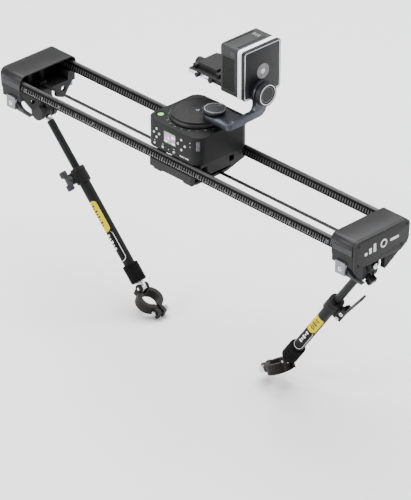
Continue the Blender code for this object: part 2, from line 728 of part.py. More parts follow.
def build_camera_clamp(axis):
    """Tilting L bracket with a dovetail channel, its sliding camera plate and the jaw screw."""
    tilt = pivot("tilt_axis", (TILT_X0, TILT_AXIS_Y, TILT_AXIS_Z), parent=axis)
    y0, y1 = TILT_AXIS_Y - 32.0, TILT_AXIS_Y + 32.0
    wall_outline = rounded([(y0, DECK_Z, 3.0), (y1, DECK_Z, 3.0), (y1, 182.0, 14.0), (y0, 182.0, 14.0)])
    bracket = plate(wall_outline, "X", CLAMP_X1 - 1.0, CLAMP_X1 + 5.5)
    hub = cylinder(9.0, (CLAMP_X1 + 1.0, TILT_AXIS_Y, TILT_AXIS_Z),
                   (TILT_X0 + 9.0, TILT_AXIS_Y, TILT_AXIS_Z), segments=18)
    deck = box((CLAMP_X0, y0, DECK_Z), (CLAMP_X1 + 1.0, y1, DECK_Z + DECK_T))
    jaw_z = DECK_Z + DECK_T
    rails = []
    for low, high, lean in ((-49.0, -41.0, 1.0), (1.0, 9.0, -1.0)):
        lip = [(low, jaw_z - 1.0), (high, jaw_z - 1.0), (high, jaw_z + 6.5), (low, jaw_z + 6.5)]
        if lean > 0:
            lip[1] = (high - 3.2, jaw_z - 1.0)
        else:
            lip[0] = (low + 3.2, jaw_z - 1.0)
        rails.append(plate(lip, "Y", y0 + 6.0, y1 - 6.0))
    join(bracket, hub, deck, *rails)
    screw_z = DECK_Z + 3.2
    cut(bracket, cylinder(2.0 + GAP, (-56.0, TILT_AXIS_Y, screw_z), (-38.0, TILT_AXIS_Y, screw_z),
                          segments=10))
    finish(bracket, "camera_clamp", "moulded_black", parent=tilt)
    foot = [(-43.2, jaw_z + GAP), (3.2, jaw_z + GAP), (0.4, jaw_z + 7.6), (0.4, jaw_z + 10.5),
            (-40.4, jaw_z + 10.5), (-40.4, jaw_z + 7.6)]
    slide = pivot("camera_plate_slide", (-20.0, TILT_AXIS_Y, jaw_z + 3.0), parent=tilt)
    camera_plate = plate(foot, "Y", TILT_AXIS_Y - 22.0, TILT_AXIS_Y + 22.0)
    screw_y = TILT_AXIS_Y + 12.0
    screw_hole = cylinder(3.3, (-20.0, screw_y, jaw_z - 1), (-20.0, screw_y, jaw_z + 12), segments=14)
    cut(camera_plate, screw_hole)
    finish(camera_plate, "camera_plate", "bare_metal", parent=slide)
    knob = cylinder(8.0, (-64.0, 0, 0), (-53.0, 0, 0), segments=8)
    join(knob, cylinder(2.0, (-54.0, 0, 0), (-40.0, 0, 0), segments=10))
    turn = pivot("clamp_screw_axis", (0.0, TILT_AXIS_Y, screw_z), parent=tilt)
    hang(knob, "clamp_knob", "moulded_black", turn)


def build_head(carriage):
    axis = build_pan(carriage)
    build_arm(axis)
    build_lock_caps(axis)
    build_tilt_unit(axis)
    build_camera_clamp(axis)


# ---------------------------------------------------------------- support arms

def build_knuckle(side, spin, name):
    """Upper knuckle: it swings on a pin along X and forks round the rod's head."""
    carrier = pivot(f"{name}_knuckle_pivot", (side * HUB_X, 0.0, PIN_Z), turn=(0.0, 0.0, spin))
    # Built about the pin, x measured from the hub
    drop = HUB_Z - PIN_Z
    cheeks = []
    for row in (-1, 1):
        low, high = sorted((row * 9.4, row * 16.5))
        cheeks.append(cylinder(14.0, (0, low, drop), (0, high, drop), segments=18))
        cheeks.append(box((-5.0, low, drop), (14.4, high, -2.0)))
    bridge = box((-5.0, -14.0, -4.4), (14.4, 14.0, 7.0))
    pin = cylinder(PIN_R, (-12.5, 0, 0), (24.2, 0, 0), segments=14)
    head = cylinder(5.6, (22.9, 0, 0), (25.6, 0, 0), segments=14)
    join(bridge, *cheeks, pin, head)
    cut(bridge, cylinder(3.0 + GAP, (0, -18, drop), (0, 18, drop), segments=14))
    hang(bridge, f"{name}_knuckle", "cast_grey", carrier)
    return carrier


def build_rod(carrier, name):
    head = cylinder(HEAD_R, (0, -9.0, 0), (0, 9.0, 0), segments=18)
    axle = cylinder(3.0, (0, -16.3, 0), (0, 16.3, 0), segments=14)
    rod = cylinder(ROD_R, (0, 0, -8.0), (0, 0, -ROD_END), segments=16)
    boss = cylinder(6.0, (8.0, 0, 0), (14.0, 0, 0), segments=14)
    join(head, axle, rod, boss)
    cut(head, cylinder(2.2 + GAP, (7.0, 0, 0), (15.0, 0, 0), segments=10))
    hang(head, f"{name}_rod", "anodised_black", carrier, smooth=True)


def build_hub_knob(carrier, name):
    knob = cylinder(6.6, (15.0, 0, 0), (25.0, 0, 0), segments=16)
    lobes = [cylinder(2.6, (15.2, 6.6 * math.cos(a), 6.6 * math.sin(a)),
                      (24.8, 6.6 * math.cos(a), 6.6 * math.sin(a)), segments=8)
             for a in (math.radians(72 * k) for k in range(5))]
    join(knob, *lobes, cylinder(2.2, (8.0, 0, 0), (16.0, 0, 0), segments=10))
    hang(knob, f"{name}_knuckle_knob", "moulded_black", carrier)


def build_tube(carrier, name, length, spin):
    """Outer tube with its split collar at the top; spin turns the collar's ear about the tube."""
    bore = ROD_R + 0.4
    end = -length - 12.0
    outer = [(bore, 0.0), (COLLAR_R - 1.0, 0.0), (COLLAR_R, -1.0), (COLLAR_R, 1.0 - COLLAR_L),
             (COLLAR_R - 1.0, -COLLAR_L), (TUBE_R, -COLLAR_L - 1.5), (TUBE_R, end), (bore, end),
             (bore, 0.0)]
    tube = turned(outer, "tube", segments=20)
    if name == "left_arm":
        ear = box((-6.0, COLLAR_R - 2.5, -COLLAR_L + 4.0), (6.0, EAR_OUT, -4.0))
        soften(ear, 1.5, segments=1)
        join(tube, ear)
        middle = -COLLAR_L / 2
        inner, outside = (0, ROD_R + 2.0, middle), (0, EAR_OUT + 2.0, middle)
        cut(tube, cylinder(STUD_R + GAP, inner, outside, segments=10))
    else:
        ear = box((-5.0, COLLAR_R - 2.5, -COLLAR_L - 4.0), (5.0, LEVER_EAR, -5.0))
        soften(ear, 1.5, segments=1)
        bolt_y, bolt_z = LEVER_BOLT
        pin_y, pin_z = LEVER_PIN
        bolt = cylinder(3.0, (-6.8, bolt_y, bolt_z), (6.8, bolt_y, bolt_z), segments=12)
        join(tube, ear, bolt)
        slit = box((-0.6, ROD_R - 1.0, 2.0 - COLLAR_L), (0.6, LEVER_EAR + 1.0, 1.0))
        pin_hole = cylinder(1.5 + GAP, (-8.0, pin_y, pin_z), (8.0, pin_y, pin_z), segments=10)
        cut(tube, slit, pin_hole)
    tube.data.transform(Matrix.Rotation(spin, 4, "Z"))
    hang(tube, f"{name}_tube", "anodised_black", carrier)


def build_wing_lock(carrier, name):
    """Wing screw in the collar's ear, turning about the ear's own axis."""
    lock = cylinder(STUD_R, (0, -11.0, 0), (0, 6.0, 0), segments=10)
    boss = cylinder(6.0, (0, 1.0, 0), (0, 7.0, 0), segments=14)
    wing = box((-4.8, 5.0, -17.0), (4.8, 15.0, 17.0))
    notch = box((-6.0, 10.0, -6.0), (6.0, 17.0, 6.0))
    soften(wing, 1.4, segments=1)
    cut(wing, notch)
    join(lock, boss, wing)
    hang(lock, f"{name}_tube_lock", "moulded_black", carrier)


def build_lever_lock(carrier, name):
    """Clamping lever: cheeks astride the collar's ear on a cross pin, and a forked handle."""
    lock = cylinder(1.5, (-7.0, 0, 0), (7.0, 0, 0), segments=8)
    handle_outline = rounded([(-8.3, 8.4, 0), (8.3, 8.4, 0), (6.6, 22.0, 4.0), (6.6, 58.0, 2.0),
                              (-6.6, 58.0, 2.0), (-6.6, 22.0, 4.0)], steps=2)
    handle = plate(handle_outline, "Y", 1.6, 5.2)
    cut(handle, plate([(-2.2, 26.0), (2.2, 26.0), (2.2, 62.0), (-2.2, 62.0)], "Y", 0.0, 7.0))
    cheeks = []
    for side in (-1, 1):
        low, high = sorted((side * 5.3, side * 8.3))
        cheeks.append(cylinder(5.5, (low, 0, 0), (high, 0, 0), segments=14))
        cheeks.append(box((low, -2.4, 0.0), (high, 4.6, 12.0)))
    join(handle, lock, *cheeks)
    handle.data.transform(Matrix.Rotation(-LEVER_LEAN, 4, "X"))
    hang(handle, f"{name}_tube_lock", "moulded_black", carrier)


def build_sleeve(carrier, name, length):
    """End sleeve over the tube, with the tongue of the lower joint."""
    top = -length
    bottom = -length - SLEEVE_L
    bore = TUBE_R + GAP
    shell = cylinder(SLEEVE_R, (0, 0, bottom), (0, 0, top), segments=20)
    soften(shell, 1.2, segments=1)
    cut(shell, cylinder(bore, (0, 0, top - 12.0 - GAP), (0, 0, top + 1.0), segments=20))
    joint_z = bottom - LUG_DROP
    tongue = box((-5.5, -4.0, joint_z), (5.5, 4.0, bottom + 2.0))
    eye = cylinder(6.5, (0, -4.0, joint_z), (0, 4.0, joint_z), segments=16)
    axle = cylinder(2.4, (0, -9.8, joint_z), (0, 9.8, joint_z), segments=10)
    join(shell, tongue, eye, axle)
    hang(shell, f"{name}_end_sleeve", "rubber", carrier)


def build_leg_clamp(name, carrier):
    """Split ring for a tripod leg, with the fork of the lower joint on its outer side.

    The ring's frame has +Z up the tripod leg and +X towards the fork.
    """
    reach, rise = RING_REACH, RING_RISE
    low, high = -RING_H / 2 - rise, RING_H / 2 - rise
    ring = cylinder(RING_OUT, (-reach, 0, low), (-reach, 0, high), segments=24)
    ear_low, ear_high = low + 1.0, high - 1.0
    ears = box((-reach - 33.0, -9.0, ear_low), (-reach - 17.0, 9.0, ear_high))
    cheeks = []
    for row in (-1, 1):
        y_low, y_high = sorted((row * 4.4, row * 9.6))
        cheeks.append(cylinder(6.5, (0, y_low, 0), (0, y_high, 0), segments=16))
        cheeks.append(box((-6.5, y_low, -rise - RING_H / 2 + 2.0), (5.0, y_high, 0.0)))
    join(ring, ears, *cheeks)
    bore = cylinder(RING_IN, (-reach, 0, -60), (-reach, 0, 30), segments=24)
    split = box((-reach - 40.0, -2.5, -40), (-reach, 2.5, 20))
    screw_hole = cylinder(2.4 + GAP, (-reach - 26.0, -12, -rise), (-reach - 26.0, 12, -rise), segments=10)
    axle_hole = cylinder(2.4 + GAP, (0, -12, 0), (0, 12, 0), segments=10)
    room = box((-8.0, -4.4, -8.0), (12.0, 4.4, 12.0))
    cut(ring, bore, split, screw_hole, axle_hole, room)
    hang(ring, f"{name}_leg_clamp", "moulded_black", carrier)
    bolt = cylinder(2.4, (0, -10.0, 0), (0, 12.0, 0), segments=10)
    head = cylinder(6.0, (0, -16.0, 0), (0, -9.4, 0), segments=8)
    nut = cylinder(4.6, (0, 9.4, 0), (0, 12.6, 0), segments=6)
    join(bolt, head, nut)
    screw = bpy.data.objects.new(f"{name}_clamp_screw_axis", None)
    PARTS.objects.link(screw)
    screw.parent = carrier
    screw.location = Vector((-reach - 26.0, 0, -rise)) * MM
    hang(bolt, f"{name}_clamp_screw", "bare_metal", screw)


def build_support_arm(name, spec):
    side, lean = spec["side"], spec["lean"]
    spin = 0.0 if side > 0 else math.pi
    build_knuckle(side, spin, name)
    # Pieces are built for the right-hand arm, and the left one is the same arm turned half round
    hub = pivot(f"{name}_hub_pivot", (side * HUB_X, 0.0, HUB_Z), turn=(0.0, lean, spin))
    build_rod(hub, name)
    build_hub_knob(hub, name)
    tube = bpy.data.objects.new(f"{name}_tube_slide", None)
    PARTS.objects.link(tube)
    tube.parent = hub
    tube.location = (0.0, 0.0, -spec["collar"] * MM)
    length, ear_spin = spec["tube"], spec["ear_spin"]
    build_tube(tube, name, length, ear_spin)
    build_sleeve(tube, name, length)
    lock = bpy.data.objects.new(f"{name}_lock_axis", None)
    PARTS.objects.link(lock)
    lock.parent = tube
    lock.rotation_euler = (0.0, 0.0, ear_spin)
    around = Matrix.Rotation(ear_spin, 3, "Z")
    if name == "left_arm":
        lock.location = around @ Vector((0.0, EAR_OUT + GAP, -COLLAR_L / 2)) * MM
        build_wing_lock(lock, name)
    else:
        lock.location = around @ Vector((0.0, *LEVER_PIN)) * MM
        build_lever_lock(lock, name)
    foot = bpy.data.objects.new(f"{name}_foot_pivot", None)
    PARTS.objects.link(foot)
    foot.parent = tube
    foot.location = (0.0, 0.0, -(length + SLEEVE_L + LUG_DROP) * MM)
    foot.rotation_euler = (0.0, -lean - LEG_LEAN, 0.0)
    build_leg_clamp(name, foot)


build_rails()
build_end_blocks()
build_base()
CARRIAGE = build_carriage()
build_head(CARRIAGE)
for arm_name, arm_spec in ARMS.items():
    build_support_arm(f"{arm_name}_arm", arm_spec)
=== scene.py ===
"""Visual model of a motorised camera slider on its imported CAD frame.

Lengths in this file are in millimetres unless a name says otherwise, and become metres in the meshes.
+X runs along the rails, -Y is the controller's front and +Z is up.
"""
import json
import math

import bmesh
import bpy
from mathutils import Matrix, Vector


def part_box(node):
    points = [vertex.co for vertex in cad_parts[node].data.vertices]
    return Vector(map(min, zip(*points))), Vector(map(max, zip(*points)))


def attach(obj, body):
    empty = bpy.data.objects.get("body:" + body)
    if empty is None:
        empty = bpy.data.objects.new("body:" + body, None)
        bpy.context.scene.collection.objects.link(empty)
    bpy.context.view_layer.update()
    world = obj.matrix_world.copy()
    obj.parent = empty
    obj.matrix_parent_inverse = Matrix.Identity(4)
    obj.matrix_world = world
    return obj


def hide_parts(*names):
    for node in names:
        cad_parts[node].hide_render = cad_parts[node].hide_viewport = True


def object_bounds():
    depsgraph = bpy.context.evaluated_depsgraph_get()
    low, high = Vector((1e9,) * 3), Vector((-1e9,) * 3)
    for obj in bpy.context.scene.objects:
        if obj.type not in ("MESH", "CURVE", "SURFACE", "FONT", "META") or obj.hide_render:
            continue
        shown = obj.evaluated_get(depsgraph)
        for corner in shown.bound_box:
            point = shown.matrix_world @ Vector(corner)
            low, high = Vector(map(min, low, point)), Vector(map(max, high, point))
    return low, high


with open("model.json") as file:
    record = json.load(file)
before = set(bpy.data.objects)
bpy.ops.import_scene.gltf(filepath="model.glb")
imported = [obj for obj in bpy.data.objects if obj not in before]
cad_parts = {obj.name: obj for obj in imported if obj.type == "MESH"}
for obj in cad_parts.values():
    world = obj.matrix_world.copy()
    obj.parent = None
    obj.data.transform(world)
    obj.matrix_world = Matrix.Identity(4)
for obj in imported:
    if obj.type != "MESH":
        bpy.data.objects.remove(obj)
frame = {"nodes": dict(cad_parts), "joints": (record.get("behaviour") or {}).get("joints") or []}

CAD_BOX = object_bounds()
MM = 0.001
GAP = 0.3


def box_mm(node):
    low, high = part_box(node)
    return low / MM, high / MM


def shift(x, y, z):
    """Matrix that moves a mesh by millimetres."""
    return Matrix.Translation(Vector((x, y, z)) * MM)


def spin(degrees, axis):
    return Matrix.Rotation(math.radians(degrees), 4, axis)


def add(data):
    """Put a mesh, curve, camera or light into the scene as an object."""
    item = bpy.data.objects.new(data.name, data)
    bpy.context.scene.collection.objects.link(item)
    return item


def joint(name):
    for item in frame["joints"]:
        if item["name"] == name:
            return item
    raise KeyError(name)


# ---- materials

def surface(colour, rough=0.5, metal=0, vary=0.12, spots=60, grain=1500, bump=0.06, depth=0.05,
        rough_vary=0.1, stretch=(1, 1, 1), coat=0, coat_rough=0.1, fine_colour=0, sheen=0.25):
    """Painted, moulded or machined surface: slow colour drift, fine grain in colour, gloss and height."""
    material = bpy.data.materials.new("look")
    material.use_nodes = True
    nodes, links = material.node_tree.nodes, material.node_tree.links
    shader = nodes["Principled BSDF"]

    def node(kind, values):
        made = nodes.new(f"ShaderNode{kind}")
        for socket, value in values.items():
            made.inputs[socket].default_value = value
        return made

    def spread(noise, edge, low, high):
        """The noise's middle values, stretched over low to high."""
        made = node("MapRange", {"From Min": edge, "From Max": 1 - edge, "To Min": low, "To Max": high})
        links.new(noise.outputs["Fac"], made.inputs["Value"])
        return made.outputs["Result"]

    for socket, value in {"Metallic": metal, "Specular IOR Level": sheen, "Coat Weight": coat,
            "Coat Roughness": coat_rough}.items():
        shader.inputs[socket].default_value = value
    scale = node("Mapping", {"Scale": stretch})
    links.new(nodes.new("ShaderNodeTexCoord").outputs["Object"], scale.inputs["Vector"])
    slow = node("TexNoise", {"Scale": spots, "Detail": 4})
    fine = node("TexNoise", {"Scale": grain, "Detail": 3})
    for noise in (slow, fine):
        links.new(scale.outputs["Vector"], noise.inputs["Vector"])
    factors = [spread(slow, 0.3, 1 - vary, 1 + vary)]
    if fine_colour:
        factors.append(spread(fine, 0.35, 1 - fine_colour, 1 + fine_colour))
    shade_out = None
    for factor in factors:
        tint = nodes.new("ShaderNodeVectorMath")
        tint.operation = "SCALE"
        if shade_out:
            links.new(shade_out, tint.inputs[0])
        else:
            tint.inputs[0].default_value = colour
        links.new(factor, tint.inputs["Scale"])
        shade_out = tint.outputs["Vector"]
    links.new(shade_out, shader.inputs["Base Color"])
    gloss = spread(fine, 0.3, max(0.03, rough - rough_vary), min(1, rough + rough_vary))
    links.new(gloss, shader.inputs["Roughness"])
    if bump:
        relief = node("Bump", {"Strength": bump, "Distance": depth * MM})
        links.new(fine.outputs["Fac"], relief.inputs["Height"])
        links.new(relief.outputs["Normal"], shader.inputs["Normal"])
    return material


def glowing(colour, strength):
    material = surface(colour, rough=0.35, vary=0.05, bump=0)
    shader = material.node_tree.nodes["Principled BSDF"]
    shader.inputs["Emission Color"].default_value = (*colour, 1)
    shader.inputs["Emission Strength"].default_value = strength
    return material


MAT = {
    # Rails: the pale material on the bead's top paints its highlight, the raised ribs sit a little lighter,
    # and the near-black material paints shade under the bead, in the rib grooves and on the rest of the
    # section.
    "rail": surface((0.06, 0.06, 0.062), 0.36, 0.65, stretch=(0.05, 1, 1), grain=2500,
                    bump=0.1),
    "rail_rib": surface((0.055, 0.055, 0.057), 0.45, 0.3, bump=0.12),
    "rail_painted_shade": surface((0.003, 0.003, 0.003), 0.6, 0, bump=0.1, sheen=0.05),
    "scale_ink": surface((0.34, 0.34, 0.34), 0.6, vary=0.15, bump=0),
    "belt": surface((0.006, 0.006, 0.006), 0.62, vary=0.2, bump=0.25, grain=2200),
    "cover": surface((0.022, 0.022, 0.023), 0.42, 0.5, vary=0.1, spots=25, grain=1400,
                     stretch=(0.06, 1, 1), bump=0.16, fine_colour=0.16),
    # dark trim for screw heads, rims, collars and knobs; on the end covers' rounded edges the same material
    # is painted shade
    "dark_trim_and_painted_edge_shade": surface((0.012, 0.012, 0.013), 0.3, 0.4, bump=0.06),
    "edge_light": surface((0.2, 0.2, 0.21), 0.3, 0.9, bump=0.05),
    "plate": surface((0.018, 0.018, 0.019), 0.52, 0.15, vary=0.06, bump=0.22, grain=1800,
                     fine_colour=0.1),
    "cast": surface((0.014, 0.014, 0.015), 0.55, 0.2, bump=0.3, grain=1300, depth=0.1),
    "grey_leg": surface((0.04, 0.041, 0.043), 0.45, 0.4, bump=0.18),
    "hinge": surface((0.2, 0.21, 0.235), 0.38, 0.85, vary=0.12, bump=0.22, grain=2200),
    "silver": surface((0.62, 0.63, 0.65), 0.28, 1, vary=0.06, bump=0.12, grain=2400),
    "white": surface((0.86, 0.86, 0.86), 0.55, vary=0.04, bump=0),
    "case": surface((0.009, 0.0093, 0.0093), 0.5, 0, vary=0.1, bump=0.45, grain=2600,
                    depth=0.05, sheen=0.14),
    "disc": surface((0.011, 0.011, 0.0114), 0.5, 0, bump=0.35, grain=2400, sheen=0.18),
    "disc_rim": surface((0.065, 0.065, 0.068), 0.34, 0.6, bump=0.08),
    "cap": surface((0.0155, 0.0155, 0.016), 0.42, 0.05, bump=0.3, grain=2500),
    "arm": surface((0.058, 0.063, 0.078), 0.34, 0.8, vary=0.08, bump=0.22, grain=2200),
    "arm_edge": surface((0.5, 0.52, 0.58), 0.24, 1, bump=0.05),
    "band": surface((0.9, 0.93, 0.99), 0.45, 0, vary=0.04, bump=0.1),
    "tilt": surface((0.024, 0.0245, 0.0245), 0.5, 0, bump=0.35, grain=2300),
    "tilt_face": surface((0.0095, 0.0095, 0.0098), 0.45, 0, bump=0.2, grain=2600),
    "badge": surface((0.2, 0.2, 0.21), 0.4, 0.5, bump=0.08),
    "key": surface((0.6, 0.61, 0.62), 0.45, vary=0.05, bump=0.12),
    "key_dark": surface((0.1, 0.1, 0.105), 0.4, 0.2, bump=0.15),
    "green": surface((0.2, 0.6, 0.13), 0.08, vary=0.15, bump=0, coat=0.8, coat_rough=0.03),
    "board": surface((0.02, 0.12, 0.05), 0.5, vary=0.2),
    "knob": surface((0.01, 0.01, 0.0105), 0.55, bump=0.35, grain=1900),
    "rod": surface((0.008, 0.008, 0.009), 0.42, 0, stretch=(1, 1, 0.2), bump=0.08, sheen=0.16),
    "wing": surface((0.02, 0.0215, 0.027), 0.5, bump=0.3, grain=1900),
    "lever": surface((0.03, 0.03, 0.031), 0.42, bump=0.2, grain=1900),
    "tube": surface((0.007, 0.007, 0.0075), 0.5, 0, bump=0.1, sheen=0.14),
    "rubber": surface((0.005, 0.005, 0.005), 0.8, vary=0.2, bump=0.45, grain=1700, depth=0.1,
                      sheen=0.1),
    "clamp": surface((0.012, 0.01, 0.0095), 0.55, bump=0.35, grain=1500, depth=0.08,
                     sheen=0.14),
    "yellow": surface((0.66, 0.5, 0), 0.7, vary=0.04, bump=0.06, sheen=0),
    "label_black": surface((0.005, 0.005, 0.005), 0.5, bump=0.05, sheen=0.1),
    "ink": surface((0.02, 0.02, 0.02), 0.5, bump=0),
    "screen_dark": surface((0.006, 0.006, 0.008), 0.12, bump=0, coat=1, coat_rough=0.02),
    "screen_purple": glowing((0.5, 0.16, 0.6), 0.55),
    "screen_white": glowing((0.85, 0.85, 0.88), 0.45),
    "screen_green": glowing((0.2, 0.55, 0.16), 0.4),
    "floor": surface((0.9, 0.9, 0.9), 0.75, vary=0.01, spots=3, grain=40, bump=0,
                     rough_vary=0.03),
}
for label, made_material in MAT.items():
    made_material.name = f"look_{label}"


# ---- shapes

def from_bmesh(work, material=None):
    bmesh.ops.scale(work, vec=(MM, MM, MM), verts=work.verts)
    bmesh.ops.recalc_face_normals(work, faces=work.faces)
    mesh = bpy.data.meshes.new("shape")
    work.to_mesh(mesh)
    work.free()
    if material:
        mesh.materials.append(MAT[material])
    return add(mesh)


def bake(item):
    bpy.context.view_layer.update()
    evaluated = item.evaluated_get(bpy.context.evaluated_depsgraph_get())
    mesh = bpy.data.meshes.new_from_object(evaluated)
    item.modifiers.clear()
    item.data = mesh
    return item


def shade(item, angle=35):
    item.data.shade_smooth()
    item.data.set_sharp_from_angle(angle=math.radians(angle))
    return item


def soften(item, width, segments=2, angle=35, edge=None):
    """Round the sharp edges; edge names a second material for the rounded strips."""
    bevel = item.modifiers.new("edges", "BEVEL")
    bevel.width = width * MM
    bevel.segments = segments
    bevel.limit_method = "ANGLE"
    bevel.angle_limit = math.radians(angle)
    bevel.harden_normals = False
    if edge:
        item.data.materials.append(MAT[edge])
        bevel.material = len(item.data.materials) - 1
    bake(item)
    return shade(item)


def block(low, high, material=None):
    work = bmesh.new()
    bmesh.ops.create_cube(work, size=1)
    bmesh.ops.scale(work, vec=[b - a for a, b in zip(low, high)], verts=work.verts)
    bmesh.ops.translate(work, vec=[(a + b) / 2 for a, b in zip(low, high)], verts=work.verts)
    return from_bmesh(work, material)


def rod(radius, start, end, material=None, segments=32, end_radius=None):
    start, end = Vector(start), Vector(end)
    axis = end - start
    work = bmesh.new()
    bmesh.ops.create_cone(work, cap_ends=True, segments=segments, radius1=radius,
        radius2=radius if end_radius is None else end_radius, depth=axis.length)
    turn = axis.to_track_quat("Z", "Y").to_matrix().to_4x4()
    bmesh.ops.transform(work, matrix=Matrix.Translation((start + end) / 2) @ turn, verts=work.verts)
    return from_bmesh(work, material)


def lathe(profile, material=None, segments=64, ribs=0, rib_depth=0, rib_span=(0, 0)):
    """A closed profile of (radius, z) turned about Z; ribs press vertical flutes into part of it."""
    work = bmesh.new()
    rings = []
    for k in range(segments):
        angle = 2 * math.pi * k / segments
        rings.append([])
        for r, z in profile:
            pressed = ribs and rib_span[0] <= z <= rib_span[1] and k * ribs * 2 // segments % 2
            reach = max(r - (rib_depth if pressed else 0), 0)
            rings[-1].append(work.verts.new((reach * math.cos(angle), reach * math.sin(angle), z)))
    count = len(profile)
    for k in range(segments):
        here, there = rings[k], rings[(k + 1) % segments]
        for i in range(count):
            n = (i + 1) % count
            work.faces.new((here[i], there[i], there[n], here[n]))
    bmesh.ops.remove_doubles(work, verts=work.verts, dist=0.0005)
    bmesh.ops.dissolve_degenerate(work, edges=work.edges, dist=0.0001)
    return from_bmesh(work, material)


def arc(centre, radius, start, end, steps):
    points = []
    for k in range(steps + 1):
        angle = math.radians(start + (end - start) * k / steps)
        points.append((centre[0] + radius * math.cos(angle), centre[1] + radius * math.sin(angle)))
    return points


def rounded(corners, steps=8):
    points = []
    count = len(corners)
    for i, (u, v, radius) in enumerate(corners):
        here = Vector((u, v))
        if radius <= 0:
            points.append((u, v))
            continue
        before = (Vector(corners[i - 1][:2]) - here).normalized()
        after = (Vector(corners[(i + 1) % count][:2]) - here).normalized()
        half = before.angle(after) / 2
        centre = here + (before + after).normalized() * (radius / math.sin(half))
        first = here + before * (radius / math.tan(half)) - centre
        sweep = first.angle_signed(here + after * (radius / math.tan(half)) - centre)
        for k in range(steps + 1):
            spot = centre + Matrix.Rotation(-sweep * k / steps, 2) @ first
            points.append((spot.x, spot.y))
    return points


def frame_outline(u0, u1, v0, v1, r, steps=8):
    return rounded([(u0, v0, r), (u1, v0, r), (u1, v1, r), (u0, v1, r)], steps)


AXIS_TURN = {
    "X": Matrix(((0, 0, 1, 0), (1, 0, 0, 0), (0, 1, 0, 0), (0, 0, 0, 1))),
    "Y": Matrix(((1, 0, 0, 0), (0, 0, -1, 0), (0, 1, 0, 0), (0, 0, 0, 1))),
    "Z": Matrix.Identity(4),
}
AXIS_VECTOR = {"X": Vector((1, 0, 0)), "Y": Vector((0, 1, 0)), "Z": Vector((0, 0, 1))}


def slab(outline, axis, low, high, material=None, holes=()):
    """An outline extruded along an axis: (Y, Z) for X, (X, Z) for Y and (X, Y) for Z."""
    curve = bpy.data.curves.new("outline", "CURVE")
    curve.dimensions = "2D"
    curve.fill_mode = "BOTH"
    curve.extrude = (high - low) / 2 * MM
    for ring in (outline, *holes):
        spline = curve.splines.new("POLY")
        spline.points.add(len(ring) - 1)
        for point, (u, v) in zip(spline.points, ring):
            point.co = (u * MM, v * MM, 0, 1)
        spline.use_cyclic_u = True
    flat = add(curve)
    bpy.context.view_layer.update()
    mesh = bpy.data.meshes.new_from_object(flat.evaluated_get(bpy.context.evaluated_depsgraph_get()))
    middle = AXIS_VECTOR[axis] * ((low + high) / 2 * MM)
    mesh.transform(Matrix.Translation(middle) @ AXIS_TURN[axis])
    bpy.data.objects.remove(flat, do_unlink=True)
    bpy.data.curves.remove(curve)
    work = bmesh.new()
    work.from_mesh(mesh)
    bmesh.ops.remove_doubles(work, verts=work.verts, dist=0.000002)
    bmesh.ops.recalc_face_normals(work, faces=work.faces)
    work.to_mesh(mesh)
    work.free()
    mesh.materials.clear()
    if material:
        mesh.materials.append(MAT[material])
    return add(mesh)


def combine(base, others, operation):
    for other in others:
        step = base.modifiers.new("step", "BOOLEAN")
        step.operation = operation
        step.solver = "EXACT"
        step.object = other
    bake(base)
    for other in others:
        bpy.data.objects.remove(other, do_unlink=True)
    return base


def join(base, *others):
    return combine(base, others, "UNION")


def cut(base, *others):
    return combine(base, others, "DIFFERENCE")


def gather(items, material=None):
    """Closed solids kept side by side in one object."""
    work = bmesh.new()
    materials = []
    for item in items:
        mesh = item.data
        index = []
        for owned in mesh.materials:
            if owned not in materials:
                materials.append(owned)
            index.append(materials.index(owned))
        start = len(work.faces)
        work.from_mesh(mesh)
        work.faces.ensure_lookup_table()
        for face in work.faces[start:]:
            face.material_index = index[face.material_index] if index else 0
        bpy.data.objects.remove(item, do_unlink=True)
    merged = bpy.data.meshes.new("shape")
    work.to_mesh(merged)
    work.free()
    for owned in materials:
        merged.materials.append(owned)
    if material:
        merged.materials.clear()
        merged.materials.append(MAT[material])
    return add(merged)


def number(text, size, place, matrix, lift=0.06):
    """A scale numeral as a thin solid, centred on its place."""
    curve = bpy.data.curves.new("numeral", "FONT")
    curve.body = text
    curve.size = size * MM
    curve.extrude = lift / 2 * MM
    curve.align_x = "CENTER"
    curve.align_y = "CENTER"
    curve.resolution_u = 2
    item = add(curve)
    bpy.context.view_layer.update()
    mesh = bpy.data.meshes.new_from_object(item.evaluated_get(bpy.context.evaluated_depsgraph_get()))
    bpy.data.objects.remove(item, do_unlink=True)
    mesh.transform(Matrix.Translation(Vector(place) * MM) @ matrix.to_4x4())
    return add(mesh)


def settle(item, name, body, replaces=(), smooth=35, matrix=None):
    """Name a finished piece, put it in place and let it ride on its body."""
    item.name = name
    item.data.name = name
    if matrix is not None:
        item.data.transform(matrix)
    if smooth:
        shade(item, smooth)
    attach(item, body)
    if replaces:
        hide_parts(*replaces)
    return item


def paint(item, material):
    """One finish over the whole of an item."""
    item.data.materials.clear()
    item.data.materials.append(MAT[material])
    for face in item.data.polygons:
        face.material_index = 0


def coat(material, *nodes):
    """Give CAD nodes their finish."""
    for node in nodes:
        paint(frame["nodes"][node], material)


# ---- rails and belt

RAIL_LOW, RAIL_HIGH = box_mm("rail_front")
RAIL_Y = -(RAIL_LOW.y + RAIL_HIGH.y) / 2
RAIL_HALF = (RAIL_HIGH.y - RAIL_LOW.y) / 2
RAIL_Z = RAIL_LOW.z
RAIL_END = RAIL_HIGH.x
BEAD_R = 3.6
BEAD_Z = RAIL_HIGH.z - RAIL_Z - BEAD_R
RIB_PITCH = 5.4
RIB_DEPTH = 0.7
SLOPE_FOOT = (RAIL_HALF, 1.9)
SLOPE_TOP = (2.7, 9.9)
SCALE_END = 340
TICK_STEP = 4


